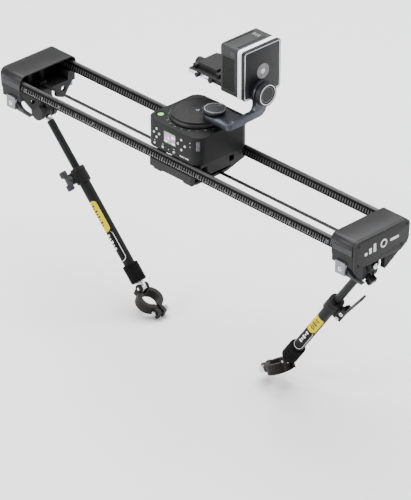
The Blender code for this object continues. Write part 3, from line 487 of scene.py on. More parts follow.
def rail_section(dent):
    """Half section from the bottom outer corner up to the bead, with the slope pressed in by dent."""
    (foot_y, foot_z), (top_y, top_z) = SLOPE_FOOT, SLOPE_TOP
    run = Vector((top_y - foot_y, top_z - foot_z)).normalized()
    inward = Vector((-run.y, run.x)) * dent
    low = (foot_y + run.x * 0.9 + inward.x, foot_z + run.y * 0.9 + inward.y)
    high = (top_y - run.x * 0.7 + inward.x, top_z - run.y * 0.7 + inward.y)
    half = [(RAIL_HALF - 0.7, 0), (RAIL_HALF, 0.5), (foot_y, foot_z), low, high, (top_y, top_z)]
    bead = arc((0, BEAD_Z), BEAD_R, -38, 218, 18)
    left = [(-y, z) for y, z in reversed(half)]
    return half + bead + left


def rail_tones(dent):
    """Material index of each face round the section: 0 the bead's top, paler as a painted highlight, 1 raised
    rib, 2 near-black painted shade in the grooves, under the bead and on the rest of the section.
    """
    half = [2, 2, 2, 1 if dent == 0 else 2, 2, 2]
    bead = [0 if 3 <= k <= 13 else 2 for k in range(18)]
    return half + bead + [2] + list(reversed(half))[1:] + [2]


def build_rail(name, middle):
    stations = []
    x = -RAIL_END
    while x < RAIL_END - 0.01:
        wide = min(RIB_PITCH, RAIL_END - x)
        stations += [(x, 0), (x + wide * 0.48, 0), (x + wide * 0.54, RIB_DEPTH), (x + wide * 0.94, RIB_DEPTH)]
        x += RIB_PITCH
    stations.append((RAIL_END, 0))
    work = bmesh.new()
    rings = []
    for x, dent in stations:
        rings.append([work.verts.new((x, middle + y, RAIL_Z + z)) for y, z in rail_section(dent)])
    count = len(rings[0])
    for k, (here, there) in enumerate(zip(rings, rings[1:])):
        tones = rail_tones(max(stations[k][1], stations[k + 1][1]))
        for i in range(count):
            n = (i + 1) % count
            face = work.faces.new((here[i], here[n], there[n], there[i]))
            face.material_index = tones[i]
    for ring in (rings[0], rings[-1]):
        work.faces.new(ring)
    rail = from_bmesh(work, "rail")
    # The bead's top keeps the pale material as a painted highlight; the near-black material paints shade
    # under the bead, in the grooves and on the other faces.
    rail.data.materials.append(MAT["rail_rib"])
    rail.data.materials.append(MAT["rail_painted_shade"])
    settle(rail, name + "_ribbed", "frame", replaces=[name], smooth=30)


def build_scale():
    """Ruler ticks and numerals along the lower half of the front rail's outer slope."""
    (foot_y, foot_z), (top_y, top_z) = SLOPE_FOOT, SLOPE_TOP
    run = Vector((0, -(top_y - foot_y), top_z - foot_z)).normalized()
    out = Vector((0, -abs(run.z), abs(run.y)))
    along = Vector((1, 0, 0))
    turn = Matrix((along, run, out)).transposed()
    foot = Vector((0, -RAIL_Y - foot_y, RAIL_Z + foot_z))
    marks = []
    step = 0
    x = -SCALE_END
    while x <= SCALE_END:
        tall = 3 if step % 5 == 0 else 1.9
        mark = block((-0.35, -tall / 2, -0.02), (0.35, tall / 2, 0.05))
        place = foot + run * (0.6 + tall / 2) + Vector((x, 0, 0))
        mark.data.transform(Matrix.Translation(place * MM) @ turn.to_4x4())
        marks.append(mark)
        if step % 10 == 0:
            value = str(abs(int(round(x / 10))))
            place = foot + run * 5.4 + out * 0.02 + Vector((x, 0, 0))
            marks.append(number(value, 3.6, place, turn))
        x += TICK_STEP
        step += 1
    settle(gather(marks, "scale_ink"), "rail_scale", "frame", smooth=0)


def build_belt():
    low, high = box_mm("drive_belt")
    work = bmesh.new()
    profile = []
    x = low.x
    pitch, root = 5.3, 0.45
    while x < high.x - pitch:
        profile += [(x, high.z - root), (x + pitch * 0.45, high.z - root), (x + pitch * 0.55, high.z),
            (x + pitch * 0.9, high.z)]
        x += pitch
    profile += [(x, high.z - root), (high.x, high.z - root)]
    rows = []
    for y in (low.y, high.y):
        top = [work.verts.new((u, y, w)) for u, w in profile]
        bottom = [work.verts.new((u, y, low.z)) for u, w in profile]
        rows.append((top, bottom))
    (top_a, bottom_a), (top_b, bottom_b) = rows
    for i in range(len(profile) - 1):
        work.faces.new((top_a[i], top_a[i + 1], top_b[i + 1], top_b[i]))
        work.faces.new((bottom_a[i], bottom_b[i], bottom_b[i + 1], bottom_a[i + 1]))
        work.faces.new((top_a[i], bottom_a[i], bottom_a[i + 1], top_a[i + 1]))
        work.faces.new((top_b[i], top_b[i + 1], bottom_b[i + 1], bottom_b[i]))
    for end in (0, -1):
        work.faces.new((top_a[end], top_b[end], bottom_b[end], bottom_a[end]))
    belt = from_bmesh(work, "belt")
    settle(belt, "toothed_belt", "frame", replaces=["drive_belt"], smooth=0)


# ---- end blocks

AXLE_Z = -8
ARM_PIN_Z = -22
PLATE_SCREWS = ((-52, 36.5), (52, 36.5), (-53, 4.5), (41, 6))


def half_turn(side):
    return Matrix.Identity(4) if side == "right" else spin(180, "Z")


def build_cover(side):
    low, high = box_mm("end_cover_right")
    edge, top, wall = high.y, high.z, 1.9
    outer = rounded([(edge, low.z, 0), (edge, top, 11), (-edge, top, 11), (-edge, low.z, 0)], 14)
    inner_y = edge - wall
    inner = rounded([(-inner_y, low.z, 0), (-inner_y, top - wall, 9.1), (inner_y, top - wall, 9.1),
        (inner_y, low.z, 0)], 14)
    cover = slab(outer + inner, "X", low.x, high.x, "cover")
    # The rounded edges take the darker material: painted shade on the cover's rounding.
    soften(cover, 0.5, 2, angle=50, edge="dark_trim_and_painted_edge_shade")
    settle(cover, f"end_cover_{side}_brushed", "frame", [f"end_cover_{side}"],
        matrix=half_turn(side))


def build_end_plate(side):
    low, high = box_mm("end_plate_right")
    edge, top = high.y, high.z
    outline = rounded([(-edge, top, 10), (-edge, -2, 4), (40, -4, 8), (edge - 2.5, 8, 12), (edge, top, 10)],
        12)
    face = slab(outline, "X", low.x, high.x, "plate")
    soften(face, 0.7, 2, angle=50, edge="edge_light")
    screws, wells = [], []
    for y, z in PLATE_SCREWS:
        wells.append(rod(2.7, (high.x - 1.5, y, z), (high.x + 1, y, z), segments=28))
        head = rod(2.3, (high.x - 1.7, y, z), (high.x - 0.35, y, z), "dark_trim_and_painted_edge_shade", segments=28)
        cut(head, rod(1.15, (high.x - 1.2, y, z), (high.x, y, z), segments=6))
        screws.append(soften(head, 0.2, 1))
    cut(face, *wells)
    settle(face, f"end_plate_{side}_coated", "frame", [f"end_plate_{side}"],
        matrix=half_turn(side))
    settle(gather(screws), f"end_plate_{side}_screws", "frame", matrix=half_turn(side))
    outlines = [frame_outline(y - 2.8, y + 2.8, 15, 15 + tall, 1.3, 4) for y,
        tall in ((-36, 5.5), (-26.5, 10), (-17, 14.5))]
    outlines += [arc((2.5, 22.2), 7.2, 0, 360, 40)[:-1], frame_outline(16, 35, 20, 24.6, 2, 4)]
    ring_hole = arc((2.5, 22.2), 4.4, 0, 360, 40)[:-1]
    marks = [slab(outline, "X", high.x - 0.1, high.x + 0.12, holes=[ring_hole] if k == 3 else ()) for k,
        outline in enumerate(outlines)]
    settle(gather(marks, "white"), f"end_plate_{side}_graphic", "frame", smooth=0,
        matrix=half_turn(side))


def build_rail_inserts(side):
    """Light-grey caps closing the rails' outer sides inside the end block."""
    pieces = []
    for row in (-1, 1):
        y0 = row * (RAIL_Y + RAIL_HALF - 1.4)
        y1 = row * (RAIL_Y + RAIL_HALF + 0.35)
        cap = block((352, min(y0, y1), RAIL_Z + 0.6), (394, max(y0, y1), RAIL_Z + 11), "grey_leg")
        grooves = [block((356, row * 60 - 0.6, RAIL_Z + z), (390, row * 60 + 0.6, RAIL_Z + z + 0.6))
            for z in (3, 5.6, 8.2)]
        cut(cap, *grooves)
        pieces.append(soften(cap, 0.3, 1))
    settle(gather(pieces), f"rail_inserts_{side}", "frame", matrix=half_turn(side))


def build_foot_trim(corner):
    """Bright axle ends with hexagon sockets on each foot hinge."""
    low, high = box_mm(f"foot_hinge_{corner}")
    middle = (low + high) / 2
    pieces = []
    for side in (low.y - 0.25, high.y - 0.55):
        washer = rod(3.9, (middle.x, side, AXLE_Z), (middle.x, side + 0.8, AXLE_Z), "silver")
        socket = rod(1.6, (middle.x, side - 1, AXLE_Z), (middle.x, side + 2, AXLE_Z), segments=6)
        cut(washer, socket)
        pieces.append(soften(washer, 0.2, 1))
    settle(gather(pieces), f"foot_hinge_{corner}_axle_ends", "frame")


def build_pin_head(side):
    """Bright head of the arm's pin on the outer face of each end block."""
    low, high = box_mm(f"{side}_arm_knuckle")
    reach = max(abs(low.x), abs(high.x))
    head = lathe([(0, 0.9), (3.2, 0.8), (5, 0.1), (5.4, -0.8), (5.4, -2.2), (0, -2.2)], "silver")
    settle(head, f"{side}_arm_pin_head", f"{side}_arm_knuckle",
        matrix=half_turn(side) @ shift(reach + 0.2, 0, ARM_PIN_Z) @ spin(90, "Y"))


build_rail("rail_front", -RAIL_Y)
build_rail("rail_rear", RAIL_Y)
build_scale()
build_belt()
for block_side in ("right", "left"):
    build_cover(block_side)
    build_end_plate(block_side)
    build_rail_inserts(block_side)
    build_pin_head(block_side)
    coat("cast", f"end_frame_{block_side}")
for foot in ("front_left", "front_right", "rear_left", "rear_right"):
    build_foot_trim(foot)
    coat("hinge", f"foot_hinge_{foot}")
    coat("grey_leg", f"foot_leg_{foot}")


# ---- carriage and controller

CASE_LOW, CASE_HIGH = box_mm("controller_case")
CASE_R = 17
LEVEL_LOW, LEVEL_HIGH = box_mm("bubble_level")
LEVEL_MID = (LEVEL_LOW + LEVEL_HIGH) / 2
WHEEL = Vector(joint("thumbwheel_turn")["pos_m"]) / MM
SCREEN_LOW, SCREEN_HIGH = box_mm("display_window")
KEYS = {
    "left_keypad": [(-39.9, 64.7), (-28.3, 64.7), (-34.1, 71.9), (-34.1, 57.5)],
    "right_keypad": [(13.7, 64.3), (29.1, 64.3), (21.4, 72.9), (21.4, 55.7)],
    "home_key": [(-38.8, 46.1)],
    "menu_key": [(-20.2, 45.1)],
    "run_key": [(4.7, 45.1)],
}


def case_outline(inset, steps=10):
    x, y, r = CASE_HIGH.x - inset, CASE_HIGH.y - inset, CASE_R - inset
    return rounded([(x, y, r), (-x, y, r), (-x, -y, r), (x, -y, r)], steps)


def build_case():
    shell = slab(case_outline(0), "Z", CASE_LOW.z, CASE_HIGH.z, "case")
    soften(shell, 4.6, 6, angle=60)
    cut(shell, block((-70, -70, CASE_LOW.z - 1), (70, 70, CASE_LOW.z + 6)))
    join(shell, slab(case_outline(0), "Z", CASE_LOW.z, CASE_LOW.z + 6.2))
    cut(shell, slab(case_outline(2.6), "Z", CASE_LOW.z - 1, CASE_HIGH.z - 4))
    front = -CASE_HIGH.y
    tools = []
    for keys in KEYS.values():
        for x, z in keys:
            tools.append(rod(2.4, (x, front - 2, z), (x, front + 4, z), segments=28))
    tools.append(rod(6.9, (LEVEL_MID.x, LEVEL_MID.y, CASE_HIGH.z - 5),
        (LEVEL_MID.x, LEVEL_MID.y, CASE_HIGH.z + 3), segments=48, end_radius=7.7))
    tools.append(slab(frame_outline(SCREEN_LOW.x - GAP, SCREEN_HIGH.x + GAP, SCREEN_LOW.z - GAP,
        SCREEN_HIGH.z + GAP, 1.6), "Y", front - 2, front + 4))
    tools.append(rod(8.6, (0, 0, CASE_HIGH.z - 6), (0, 0, CASE_HIGH.z + 2), segments=48))
    cut(shell, *tools)
    across = Vector((1, 1, 0)).normalized() * 3.5
    cut(shell, rod(11.5, WHEEL - across, WHEEL + across, segments=64))
    settle(shell, "controller_case_moulded", "carriage", ["controller_case"], smooth=32)


def build_case_marks():
    """Printed legends on the front and the pan scale on the top."""
    front = -CASE_HIGH.y
    prints = []
    for x, z in ((-20.2, 50.3), (4.7, 50.3), (-38.8, 51.1)):
        prints.append(block((x - 1.4, front - 0.06, z - 0.3), (x + 1.4, front + 0.1, z + 0.3)))
    prints.append(rod(0.7, (-7.8, front - 0.06, 44.9), (-7.8, front + 0.1, 44.9), segments=16))
    for k, wide in enumerate((2, 3.2, 1.6, 2.6, 3.6)):
        x = 18.7 + k * 4.2
        prints.append(block((x - wide / 2, front - 0.06, 43.3), (x + wide / 2, front + 0.1, 45.1)))
    for z in (68, 74.5):
        prints.append(rod(0.75, (40.6, front - 0.06, z), (40.6, front + 0.1, z), segments=16))
    settle(gather(prints, "white"), "controller_legends", "carriage", smooth=0)
    ticks = []
    for k in range(120):
        long = 1.9 if k % 5 == 0 else 1.1
        mark = block((45.6, -0.14, CASE_HIGH.z - 0.1), (45.6 + long, 0.14, CASE_HIGH.z + 0.05))
        mark.data.transform(spin(3 * k, "Z"))
        ticks.append(mark)
    for k in range(24):
        angle = math.radians(15 * k)
        spot = Vector((49.2 * math.cos(angle), 49.2 * math.sin(angle), CASE_HIGH.z))
        if (spot - LEVEL_MID).xy.length < 12:
            continue
        turn = Matrix.Rotation(angle + math.pi / 2, 3, "Z")
        ticks.append(number(str(15 * k), 2.1, spot, turn))
    settle(gather(ticks, "scale_ink"), "pan_scale", "carriage", smooth=0)


def build_keys():
    front = -CASE_HIGH.y
    for name, keys in KEYS.items():
        low, high = box_mm(name)
        caps = [slab(frame_outline(low.x, high.x, low.z, high.z, 1), "Y", high.y - 1.5, high.y, "key")]
        for x, z in keys:
            dome = lathe([(0, 1.15), (1.2, 1.1), (1.85, 0.75), (2.1, 0.2), (2.1, -5), (0, -5)], "key",
                segments=32)
            dome.data.transform(shift(x, front, z) @ spin(90, "X"))
            caps.append(dome)
        settle(gather(caps), f"{name}_caps", name, [name], smooth=30)


def build_display():
    low, high = SCREEN_LOW, SCREEN_HIGH
    glass = slab(frame_outline(low.x, high.x, low.z, high.z, 1.4), "Y", low.y, high.y, "screen_dark")
    soften(glass, 0.15, 1)
    settle(glass, "display_glass", "carriage", ["display_window"])
    face = low.y

    def tile(x0, x1, z0, z1, material, lift=0.04):
        return slab(frame_outline(x0, x1, z0, z1, 0.5, 3), "Y", face - lift, face + 0.05, material)

    x0, z0 = low.x + 1.6, low.z + 1.6
    x1, z1 = high.x - 1.6, high.z - 1.6
    wide, tall = x1 - x0, z1 - z0
    tiles = [
        tile(x0, x1, z1 - 2.4, z1, "screen_green"),
        tile(x0, x0 + wide * 0.62, z0 + 4.4, z1 - 3.2, "screen_purple"),
        tile(x0 + wide * 0.66, x1, z0 + tall * 0.55, z1 - 3.2, "screen_white"),
        tile(x0 + wide * 0.66, x1, z0 + 4.4, z0 + tall * 0.49, "screen_purple"),
        tile(x0, x0 + wide * 0.3, z0, z0 + 3.5, "screen_white"),
        tile(x0 + wide * 0.35, x0 + wide * 0.64, z0, z0 + 3.5, "screen_green"),
        tile(x0 + wide * 0.69, x1, z0, z0 + 3.5, "screen_white"),
    ]
    for k in range(4):
        x = x0 + 1.6 + k * 3.4
        tiles.append(tile(x, x + 2, z0 + 6, z0 + 7.6 + 1.3 * (k % 3), "screen_white", lift=0.08))
    settle(gather(tiles), "display_tiles", "carriage", smooth=0)


def build_wheel():
    wheel = lathe([(4, 3), (10.2, 3), (11, 2.2), (11, -2.2), (10.2, -3), (4, -3)], "key_dark", segments=144,
        ribs=36, rib_depth=0.35, rib_span=(-2.5, 2.5))
    axis = Vector((1, 1, 0)).normalized()
    place = Matrix.Translation(WHEEL * MM) @ axis.to_track_quat("Z", "Y").to_matrix().to_4x4()
    settle(wheel, "thumbwheel_knurled", "thumbwheel", ["thumbwheel"], smooth=30, matrix=place)


def build_level():
    cup = lathe([(0, -0.2), (4.3, -0.3), (5.3, -0.7), (5.5, -2.6), (0, -2.6)], "green")
    rim = lathe([(5.4, -0.5), (5.7, 0), (6.4, 0), (6.5, -0.4), (6.5, -2.6), (5.4, -2.6)], "dark_trim_and_painted_edge_shade")
    bubble = lathe([(0, 0.08), (1.2, 0.05), (1.7, -0.1), (1.9, -0.5), (0, -0.5)], "white")
    target = lathe([(2.5, -0.35), (2.5, -0.05), (2.8, -0.05), (2.8, -0.35)], "ink")
    bubble.data.transform(shift(0.8, 0.5, 0))
    settle(gather([cup, rim, bubble, target]), "bubble_level_vial", "carriage",
        ["bubble_level"], matrix=shift(LEVEL_MID.x, LEVEL_MID.y, CASE_HIGH.z))


build_case()
build_case_marks()
build_keys()
build_display()
build_wheel()
build_level()
coat("cast", "tripod_bracket", "carriage_chassis", "camera_clamp")
coat("silver", "slide_motor", "drive_pulley")
coat("board", "control_board")
coat("tilt_face", "camera_plate")
coat("rubber", "roller_front_left", "roller_front_right", "roller_rear_left", "roller_rear_right")


# ---- pan disc, arm and tilt unit

DISC_HIGH = box_mm("pan_disc")[1]
DISC_Z, DISC_TOP = CASE_HIGH.z + 0.4, DISC_HIGH.z
DISC_R = DISC_HIGH.x - 1.5
PAN_CAP_LOW, PAN_CAP_HIGH = box_mm("pan_lock_cap")
PAN_CAP_X = (PAN_CAP_LOW.x + PAN_CAP_HIGH.x) / 2
TILT_CAP_LOW, TILT_CAP_HIGH = box_mm("tilt_lock_cap")
TILT_CAP_Y = (TILT_CAP_LOW.y + TILT_CAP_HIGH.y) / 2
TILT_CAP_Z = (TILT_CAP_LOW.z + TILT_CAP_HIGH.z) / 2
ARM_EDGE_X = box_mm("l_arm")[1].x
HOUSING_LOW, HOUSING_HIGH = box_mm("tilt_housing")
FACE_LOW, FACE_HIGH = box_mm("tilt_face_plate")
TILT_AXIS = Vector(joint("tilt")["pos_m"]) / MM
CLAMP_KNOB_X = -53


def build_disc():
    r, high, low = DISC_R, DISC_TOP, DISC_Z
    body = lathe([(0, high - 0.4), (13.4, high - 0.4), (13.7, high - 0.7), (14.1, high - 0.4),
        (38.6, high - 0.4), (38.9, high - 0.8), (39.3, high - 0.1), (r - 1.4, high), (r - 0.3, high - 0.3),
        (r, high - 1), (r, high - 3.2), (r - 1, high - 3.8), (r - 1, high - 4.4), (r - 1, low + 3),
        (r - 2.4, low + 2), (r - 2.6, low), (8.2, low), (8.2, low - 5.6), (0, low - 5.6)], "disc",
        segments=128)
    settle(body, "pan_disc_turned", "pan_head", ["pan_disc"], smooth=30)
    skirt = lathe([(r - 1.2, low + 6.8), (r + 1.2, low + 6.8), (r + 1.5, low + 6.4), (r + 1.5, low + 1.6),
        (r + 0.8, low + 0.9), (r - 1.6, low + 0.9), (r - 1.6, low + 5.8)], "disc_rim", segments=360, ribs=90,
        rib_depth=0.28, rib_span=(low + 1.5, low + 6.5))
    settle(skirt, "pan_disc_knurled_skirt", "pan_head", smooth=30)
    thread = soften(rod(4.9, (0, 0, high - 1), (0, 0, high), "dark_trim_and_painted_edge_shade", segments=48), 0.3, 2)
    prints = [slab(arc((0, 0), 2.6, 0, 360, 32)[:-1], "Z", high - 0.05, high + 0.1, "scale_ink",
        holes=[arc((0, 0), 1.9, 0, 360, 32)[:-1]])]
    for k in range(3):
        mark = block((2.9, -0.35, high - 0.05), (4.2, 0.35, high + 0.1), "scale_ink")
        mark.data.transform(spin(90 + 120 * k, "Z"))
        prints.append(mark)
    settle(gather([thread, *prints]), "pan_disc_centre", "pan_head")


def build_cap(name, reach, skirt, turn):
    """Lock cap: narrow foot, rim of the given depth, bright ring on the face."""
    r = (PAN_CAP_HIGH.x - PAN_CAP_LOW.x) / 2
    low = reach - skirt
    shell = lathe([(0, reach - 0.9), (r - 6, reach - 0.9), (r - 5.4, reach - 0.4), (r - 4.4, reach - 0.4),
        (r - 4, reach - 0.6), (r - 2.8, reach - 0.6), (r - 2.6, reach - 0.1), (r - 0.7, reach - 0.1),
        (r, reach - 0.8), (r, low + 0.6), (r - 0.6, low), (r - 4, low), (r - 4, 0), (0, 0)], "cap",
        segments=96)
    ring = lathe([(r - 4.1, reach - 0.8), (r - 4, reach), (r - 2.8, reach), (r - 2.7, reach - 0.8)], "silver",
        segments=96)
    groove = lathe([(r - 7.6, reach - 1), (r - 7.5, reach - 0.82), (r - 7.1, reach - 0.82),
        (r - 7, reach - 1)], "edge_light", segments=96)
    settle(gather([shell, ring, groove]), f"{name}_turned", name, [name], smooth=30,
        matrix=turn)


def build_arm():
    """Flat root under the cap, edge rib with its neck, bright chamfers all round."""
    root_z, root_top = DISC_TOP + 2.3, PAN_CAP_LOW.z - GAP
    root_r = (PAN_CAP_HIGH.x - PAN_CAP_LOW.x) / 2 - 0.4
    wall_x = ARM_EDGE_X - 8
    outline = arc((PAN_CAP_X, 0), root_r, 90, 270, 32)
    outline += arc((ARM_EDGE_X - 7, 7 - root_r), 7, -90, 0, 10) + [(ARM_EDGE_X, root_r)]
    root = slab(outline, "Z", root_z, root_top, "arm")
    foot = rod(13, (PAN_CAP_X, 0, DISC_TOP + GAP), (PAN_CAP_X, 0, root_z + 1), segments=64)
    top = root_z + 14
    tip = (-12, root_top)
    ring = arc((TILT_CAP_Y, TILT_CAP_Z), root_r, -62, 218, 48)
    rib = rounded([(*tip, 0), (-12, root_z + 0.2, 4), (52, root_z + 2.2, 9), (62, 108.5, 9), (*ring[0], 0)],
        10)
    inner = rounded([(*ring[-1], 0), (39, 122, 8), (36, top, 6), (-8, top - 1.5, 4), (*tip, 0)], 10)
    wall = slab(rib[:-1] + ring + inner[1:-1], "X", wall_x, ARM_EDGE_X)
    join(root, foot, wall)
    paint(root, "arm")
    soften(root, 0.55, 2, angle=40, edge="arm_edge")
    settle(root, "l_arm_chamfered", "pan_head", ["l_arm"], smooth=40)


def inset_outline(low, high, inset, r, steps=10):
    """A box's rounded (Y, Z) outline, drawn in by inset."""
    return frame_outline(low.y + inset, high.y - inset, low.z + inset, high.z - inset, r, steps)


def build_tilt_housing():
    x0, y0, z0 = HOUSING_LOW
    x1, z1 = HOUSING_HIGH.x, HOUSING_HIGH.z
    band_x0, band_x1 = x1 - 10.2, x1 - 2.4
    shell = slab(inset_outline(HOUSING_LOW, HOUSING_HIGH, 0.4, 5), "X", x0, band_x0 - 0.2, "tilt")
    soften(shell, 1, 3, angle=50)
    panel_cut = slab(frame_outline(x0 + 4, band_x0 - 7.5, z0 + 9, z1 - 18.5, 1.6), "Y", y0 - 1, y0 + 1.1)
    port_cut = slab(frame_outline(band_x0 - 17.5, band_x0 - 7.5, z1 - 15.5, z1 - 6.5, 1.4), "Y", y0 - 1,
        y0 + 1.6)
    socket = rod(9.3, (x0 - 1, TILT_AXIS.y, TILT_AXIS.z), (x0 + 10, TILT_AXIS.y, TILT_AXIS.z), segments=64)
    cut(shell, panel_cut, port_cut, socket)
    settle(shell, "tilt_housing_shell", "pan_head", ["tilt_housing"], smooth=35)
    ribs = []
    z = z0 + 10.2
    while z < z1 - 20:
        rib = block((x0 + 4.6, y0 + 0.5, z), (band_x0 - 8.1, y0 + 1.6, z + 1.3), "case")
        ribs.append(soften(rib, 0.25, 1))
        z += 2.4
    settle(gather(ribs), "tilt_side_grille", "pan_head", smooth=30)
    port = slab(frame_outline(band_x0 - 17.1, band_x0 - 7.9, z1 - 15.1, z1 - 6.9, 1.2), "Y", y0 + 0.5,
        y0 + 1.9, "disc_rim")
    slots = []
    for k in range(3):
        for m in range(2):
            x, z = band_x0 - 14.6 + 2.9 * k, z1 - 12.6 + 3.4 * m
            slots.append(block((x - 0.8, y0, z - 0.9), (x + 0.8, y0 + 0.9, z + 0.9)))
    cut(port, *slots)
    soften(port, 0.2, 1)
    settle(port, "tilt_side_port", "pan_head")
    band = slab(inset_outline(HOUSING_LOW, HOUSING_HIGH, 0, 5.2), "X", band_x0, band_x1, "band")
    soften(band, 0.5, 2, angle=50)
    settle(band, "tilt_pale_band", "pan_head")
    collar = slab(inset_outline(HOUSING_LOW, HOUSING_HIGH, 0.5, 5), "X", band_x1 - 0.1, x1 + 0.2, "dark_trim_and_painted_edge_shade")
    settle(collar, "tilt_dark_collar", "pan_head")


def build_tilt_face():
    x1 = FACE_HIGH.x
    rim = slab(inset_outline(FACE_LOW, FACE_HIGH, 0, 5.4, 12), "X", FACE_LOW.x, x1 - 0.5, "tilt_face")
    soften(rim, 0.6, 3, angle=50)
    settle(rim, "tilt_face_rim", "pan_head", ["tilt_face_plate"])
    frame_ring = slab(inset_outline(FACE_LOW, FACE_HIGH, 1.6, 4.4, 12), "X", x1 - 1, x1 - 0.05, "arm_edge",
        holes=[inset_outline(FACE_LOW, FACE_HIGH, 3.4, 3, 12)])
    soften(frame_ring, 0.3, 2, angle=50)
    settle(frame_ring, "tilt_face_silver_frame", "pan_head")
    inlay = slab(inset_outline(FACE_LOW, FACE_HIGH, 3.7, 2.8), "X", x1 - 1, x1 - 0.3, "tilt_face")
    soften(inlay, 0.2, 2, angle=50)
    settle(inlay, "tilt_face_inlay", "pan_head")
    badge = lathe([(0, 0.25), (9.6, 0.25), (9.9, 0.5), (12.6, 0.5), (13, 0.2), (13, -0.6), (0, -0.6)],
        "badge", segments=96)
    prints = [lathe([(0, 0.42), (4.1, 0.42), (4.3, 0.3), (4.3, 0), (0, 0)], "white", segments=48)]
    for k in range(3):
        angle = math.radians(90 + 120 * k)
        dot = lathe([(0, 0.4), (0.9, 0.4), (0.9, 0.1), (0, 0.1)], "disc_rim", segments=24)
        dot.data.transform(shift(6.9 * math.cos(angle), 6.9 * math.sin(angle), 0))
        prints.append(dot)
    turn = shift(x1 - 0.4, TILT_AXIS.y, TILT_AXIS.z) @ spin(90, "Y")
    settle(gather([badge, *prints]), "tilt_face_badge", "pan_head", matrix=turn)


def build_battery_seat():
    x0, x1, top = HOUSING_LOW.x, HOUSING_HIGH.x - 14, HOUSING_HIGH.z
    low, high = HOUSING_LOW.y + 8, HOUSING_HIGH.y - 14
    pieces = []
    for x in (x0 + 3, x1 - 4.5):
        lip = block((x, low, top - 0.5), (x + 2.2, high, top - 0.02), "dark_trim_and_painted_edge_shade")
        pieces.append(soften(lip, 0.15, 1))
    for k in range(3):
        x = (x0 + x1) / 2 - 5 + 5 * k
        pad = block((x - 1.2, high - 9, top - 0.5), (x + 1.2, high - 2, top - 0.02), "silver")
        pieces.append(soften(pad, 0.15, 1))
    settle(gather(pieces), "battery_seat_contacts", "pan_head", smooth=30)


def build_clamp_trim():
    low, high = box_mm("camera_plate")
    edge_low = box_mm("camera_clamp")[0]
    pieces = []
    for x in (low.x + 8, high.x - 8):
        strip = block((x - 3, low.y + 3, high.z - 0.5), (x + 3, high.y - 3, high.z - 0.02), "rubber")
        grooves = [block((x - 2.6, low.y + 5 + 3 * k, high.z - 0.25),
            (x + 2.6, low.y + 6.2 + 3 * k, high.z + 1)) for k in range(11)]
        cut(strip, *grooves)
        pieces.append(strip)
    settle(gather(pieces), "camera_plate_grip", "camera_plate", smooth=30)
    bars = []
    y = edge_low.y
    for x0, x1 in ((-50.5, -33), (-26, -8)):
        bar = block((x0, y - 1, edge_low.z + 0.8), (x1, y + 0.6, edge_low.z + 5.8), "silver")
        bars.append(soften(bar, 0.4, 2))
    for x in (-30, 0):
        knob = lathe([(0, 6), (3.2, 6), (3.8, 5.4), (3.8, 1.6), (3, 1), (2.2, 0.6), (2.2, -1), (0, -1)],
            "dark_trim_and_painted_edge_shade", segments=72, ribs=18, rib_depth=0.3, rib_span=(1.5, 5.5))
        knob.data.transform(shift(x, y, edge_low.z + 3.4) @ spin(90, "X"))
        bars.append(knob)
    settle(gather(bars), "camera_clamp_trim", "camera_tray", smooth=32)
    knob_low, knob_high = box_mm("clamp_knob")
    axis_y, axis_z = (knob_low.y + knob_high.y) / 2, (knob_low.z + knob_high.z) / 2
    turned = lathe([(0, 11), (6.9, 11), (7.7, 10.2), (8, 9.4), (8, 2), (7.2, 1), (3.4, 0.2), (2, 0), (2, -13),
        (0, -13)], "knob", segments=144, ribs=24, rib_depth=0.5, rib_span=(1.9, 9.5))
    cap = lathe([(0, 11.25), (3.6, 11.2), (3.9, 10.8), (0, 10.6)], "silver", segments=48)
    place = shift(CLAMP_KNOB_X, axis_y, axis_z) @ spin(-90, "Y")
    settle(gather([turned, cap]), "clamp_knob_knurled", "clamp_knob", ["clamp_knob"],
        smooth=30, matrix=place)


build_disc()
build_cap("pan_lock_cap", PAN_CAP_HIGH.z - PAN_CAP_LOW.z, 3.2, shift(PAN_CAP_X, 0, PAN_CAP_LOW.z))
build_cap("tilt_lock_cap", TILT_CAP_HIGH.x - TILT_CAP_LOW.x, 8.5,
    shift(TILT_CAP_LOW.x, TILT_CAP_Y, TILT_CAP_Z) @ spin(90, "Y"))
build_arm()
build_tilt_housing()
build_tilt_face()
build_battery_seat()
build_clamp_trim()


# ---- support arms

TUBE_R = 9.2
COLLAR_R = 12.5
SLEEVE_R = 13.6
ROD_R = 6.4
COLLAR_L = 27
TUBE_LENGTH = {"left_arm": 179.5, "right_arm": 145}
SLEEVE_L = 32
LABELS = {"left_arm": ((61, 117), (117.6, 171)), "right_arm": ((50, 89), (89.6, 140))}
EAR_OUT = 19.5
LEVER_EAR = 24.5
LEVER_PIN = (19, -10.5)
LEVER_BOLT = (18, -26)
LABEL_SPAN = 62
LABEL_TURN = {"left_arm": 87, "right_arm": -88}
YELLOW_MARKS = ((26, 2.6), (14, 2.2), (30, 3.4), (22, 2.4), (32, 2.8), (12, 2.6), (28, 3.2), (18, 2.4))
BLACK_MARKS = ((16, 3.6), (9, 2.8), (18, 4.4), (12, 2.6), (16, 3.8))
YELLOW_COUNT = {"left_arm": 8, "right_arm": 5}
LEVER_LEAN = -5.5
HUB_KNOB_X = 15


def arm_frame(name):
    """Placing matrix of an arm whose own +Z runs up it and whose own +X is its knob's axis."""
    up = Vector(joint(f"{name}_telescope")["axis"]).normalized()
    out = Vector(joint(f"{name}_knob_turn")["axis"]).normalized()
    side = up.cross(out)
    turn = Matrix((out, side, up)).transposed().to_4x4()
    return Matrix.Translation(Vector(joint(f"{name}_lean")["pos_m"])) @ turn


def reach_down(name, node):
    """How far a node's top lies below the hub, along the arm."""
    back = arm_frame(name).inverted()
    return max((back @ v.co).z for v in frame["nodes"][node].data.vertices) / MM


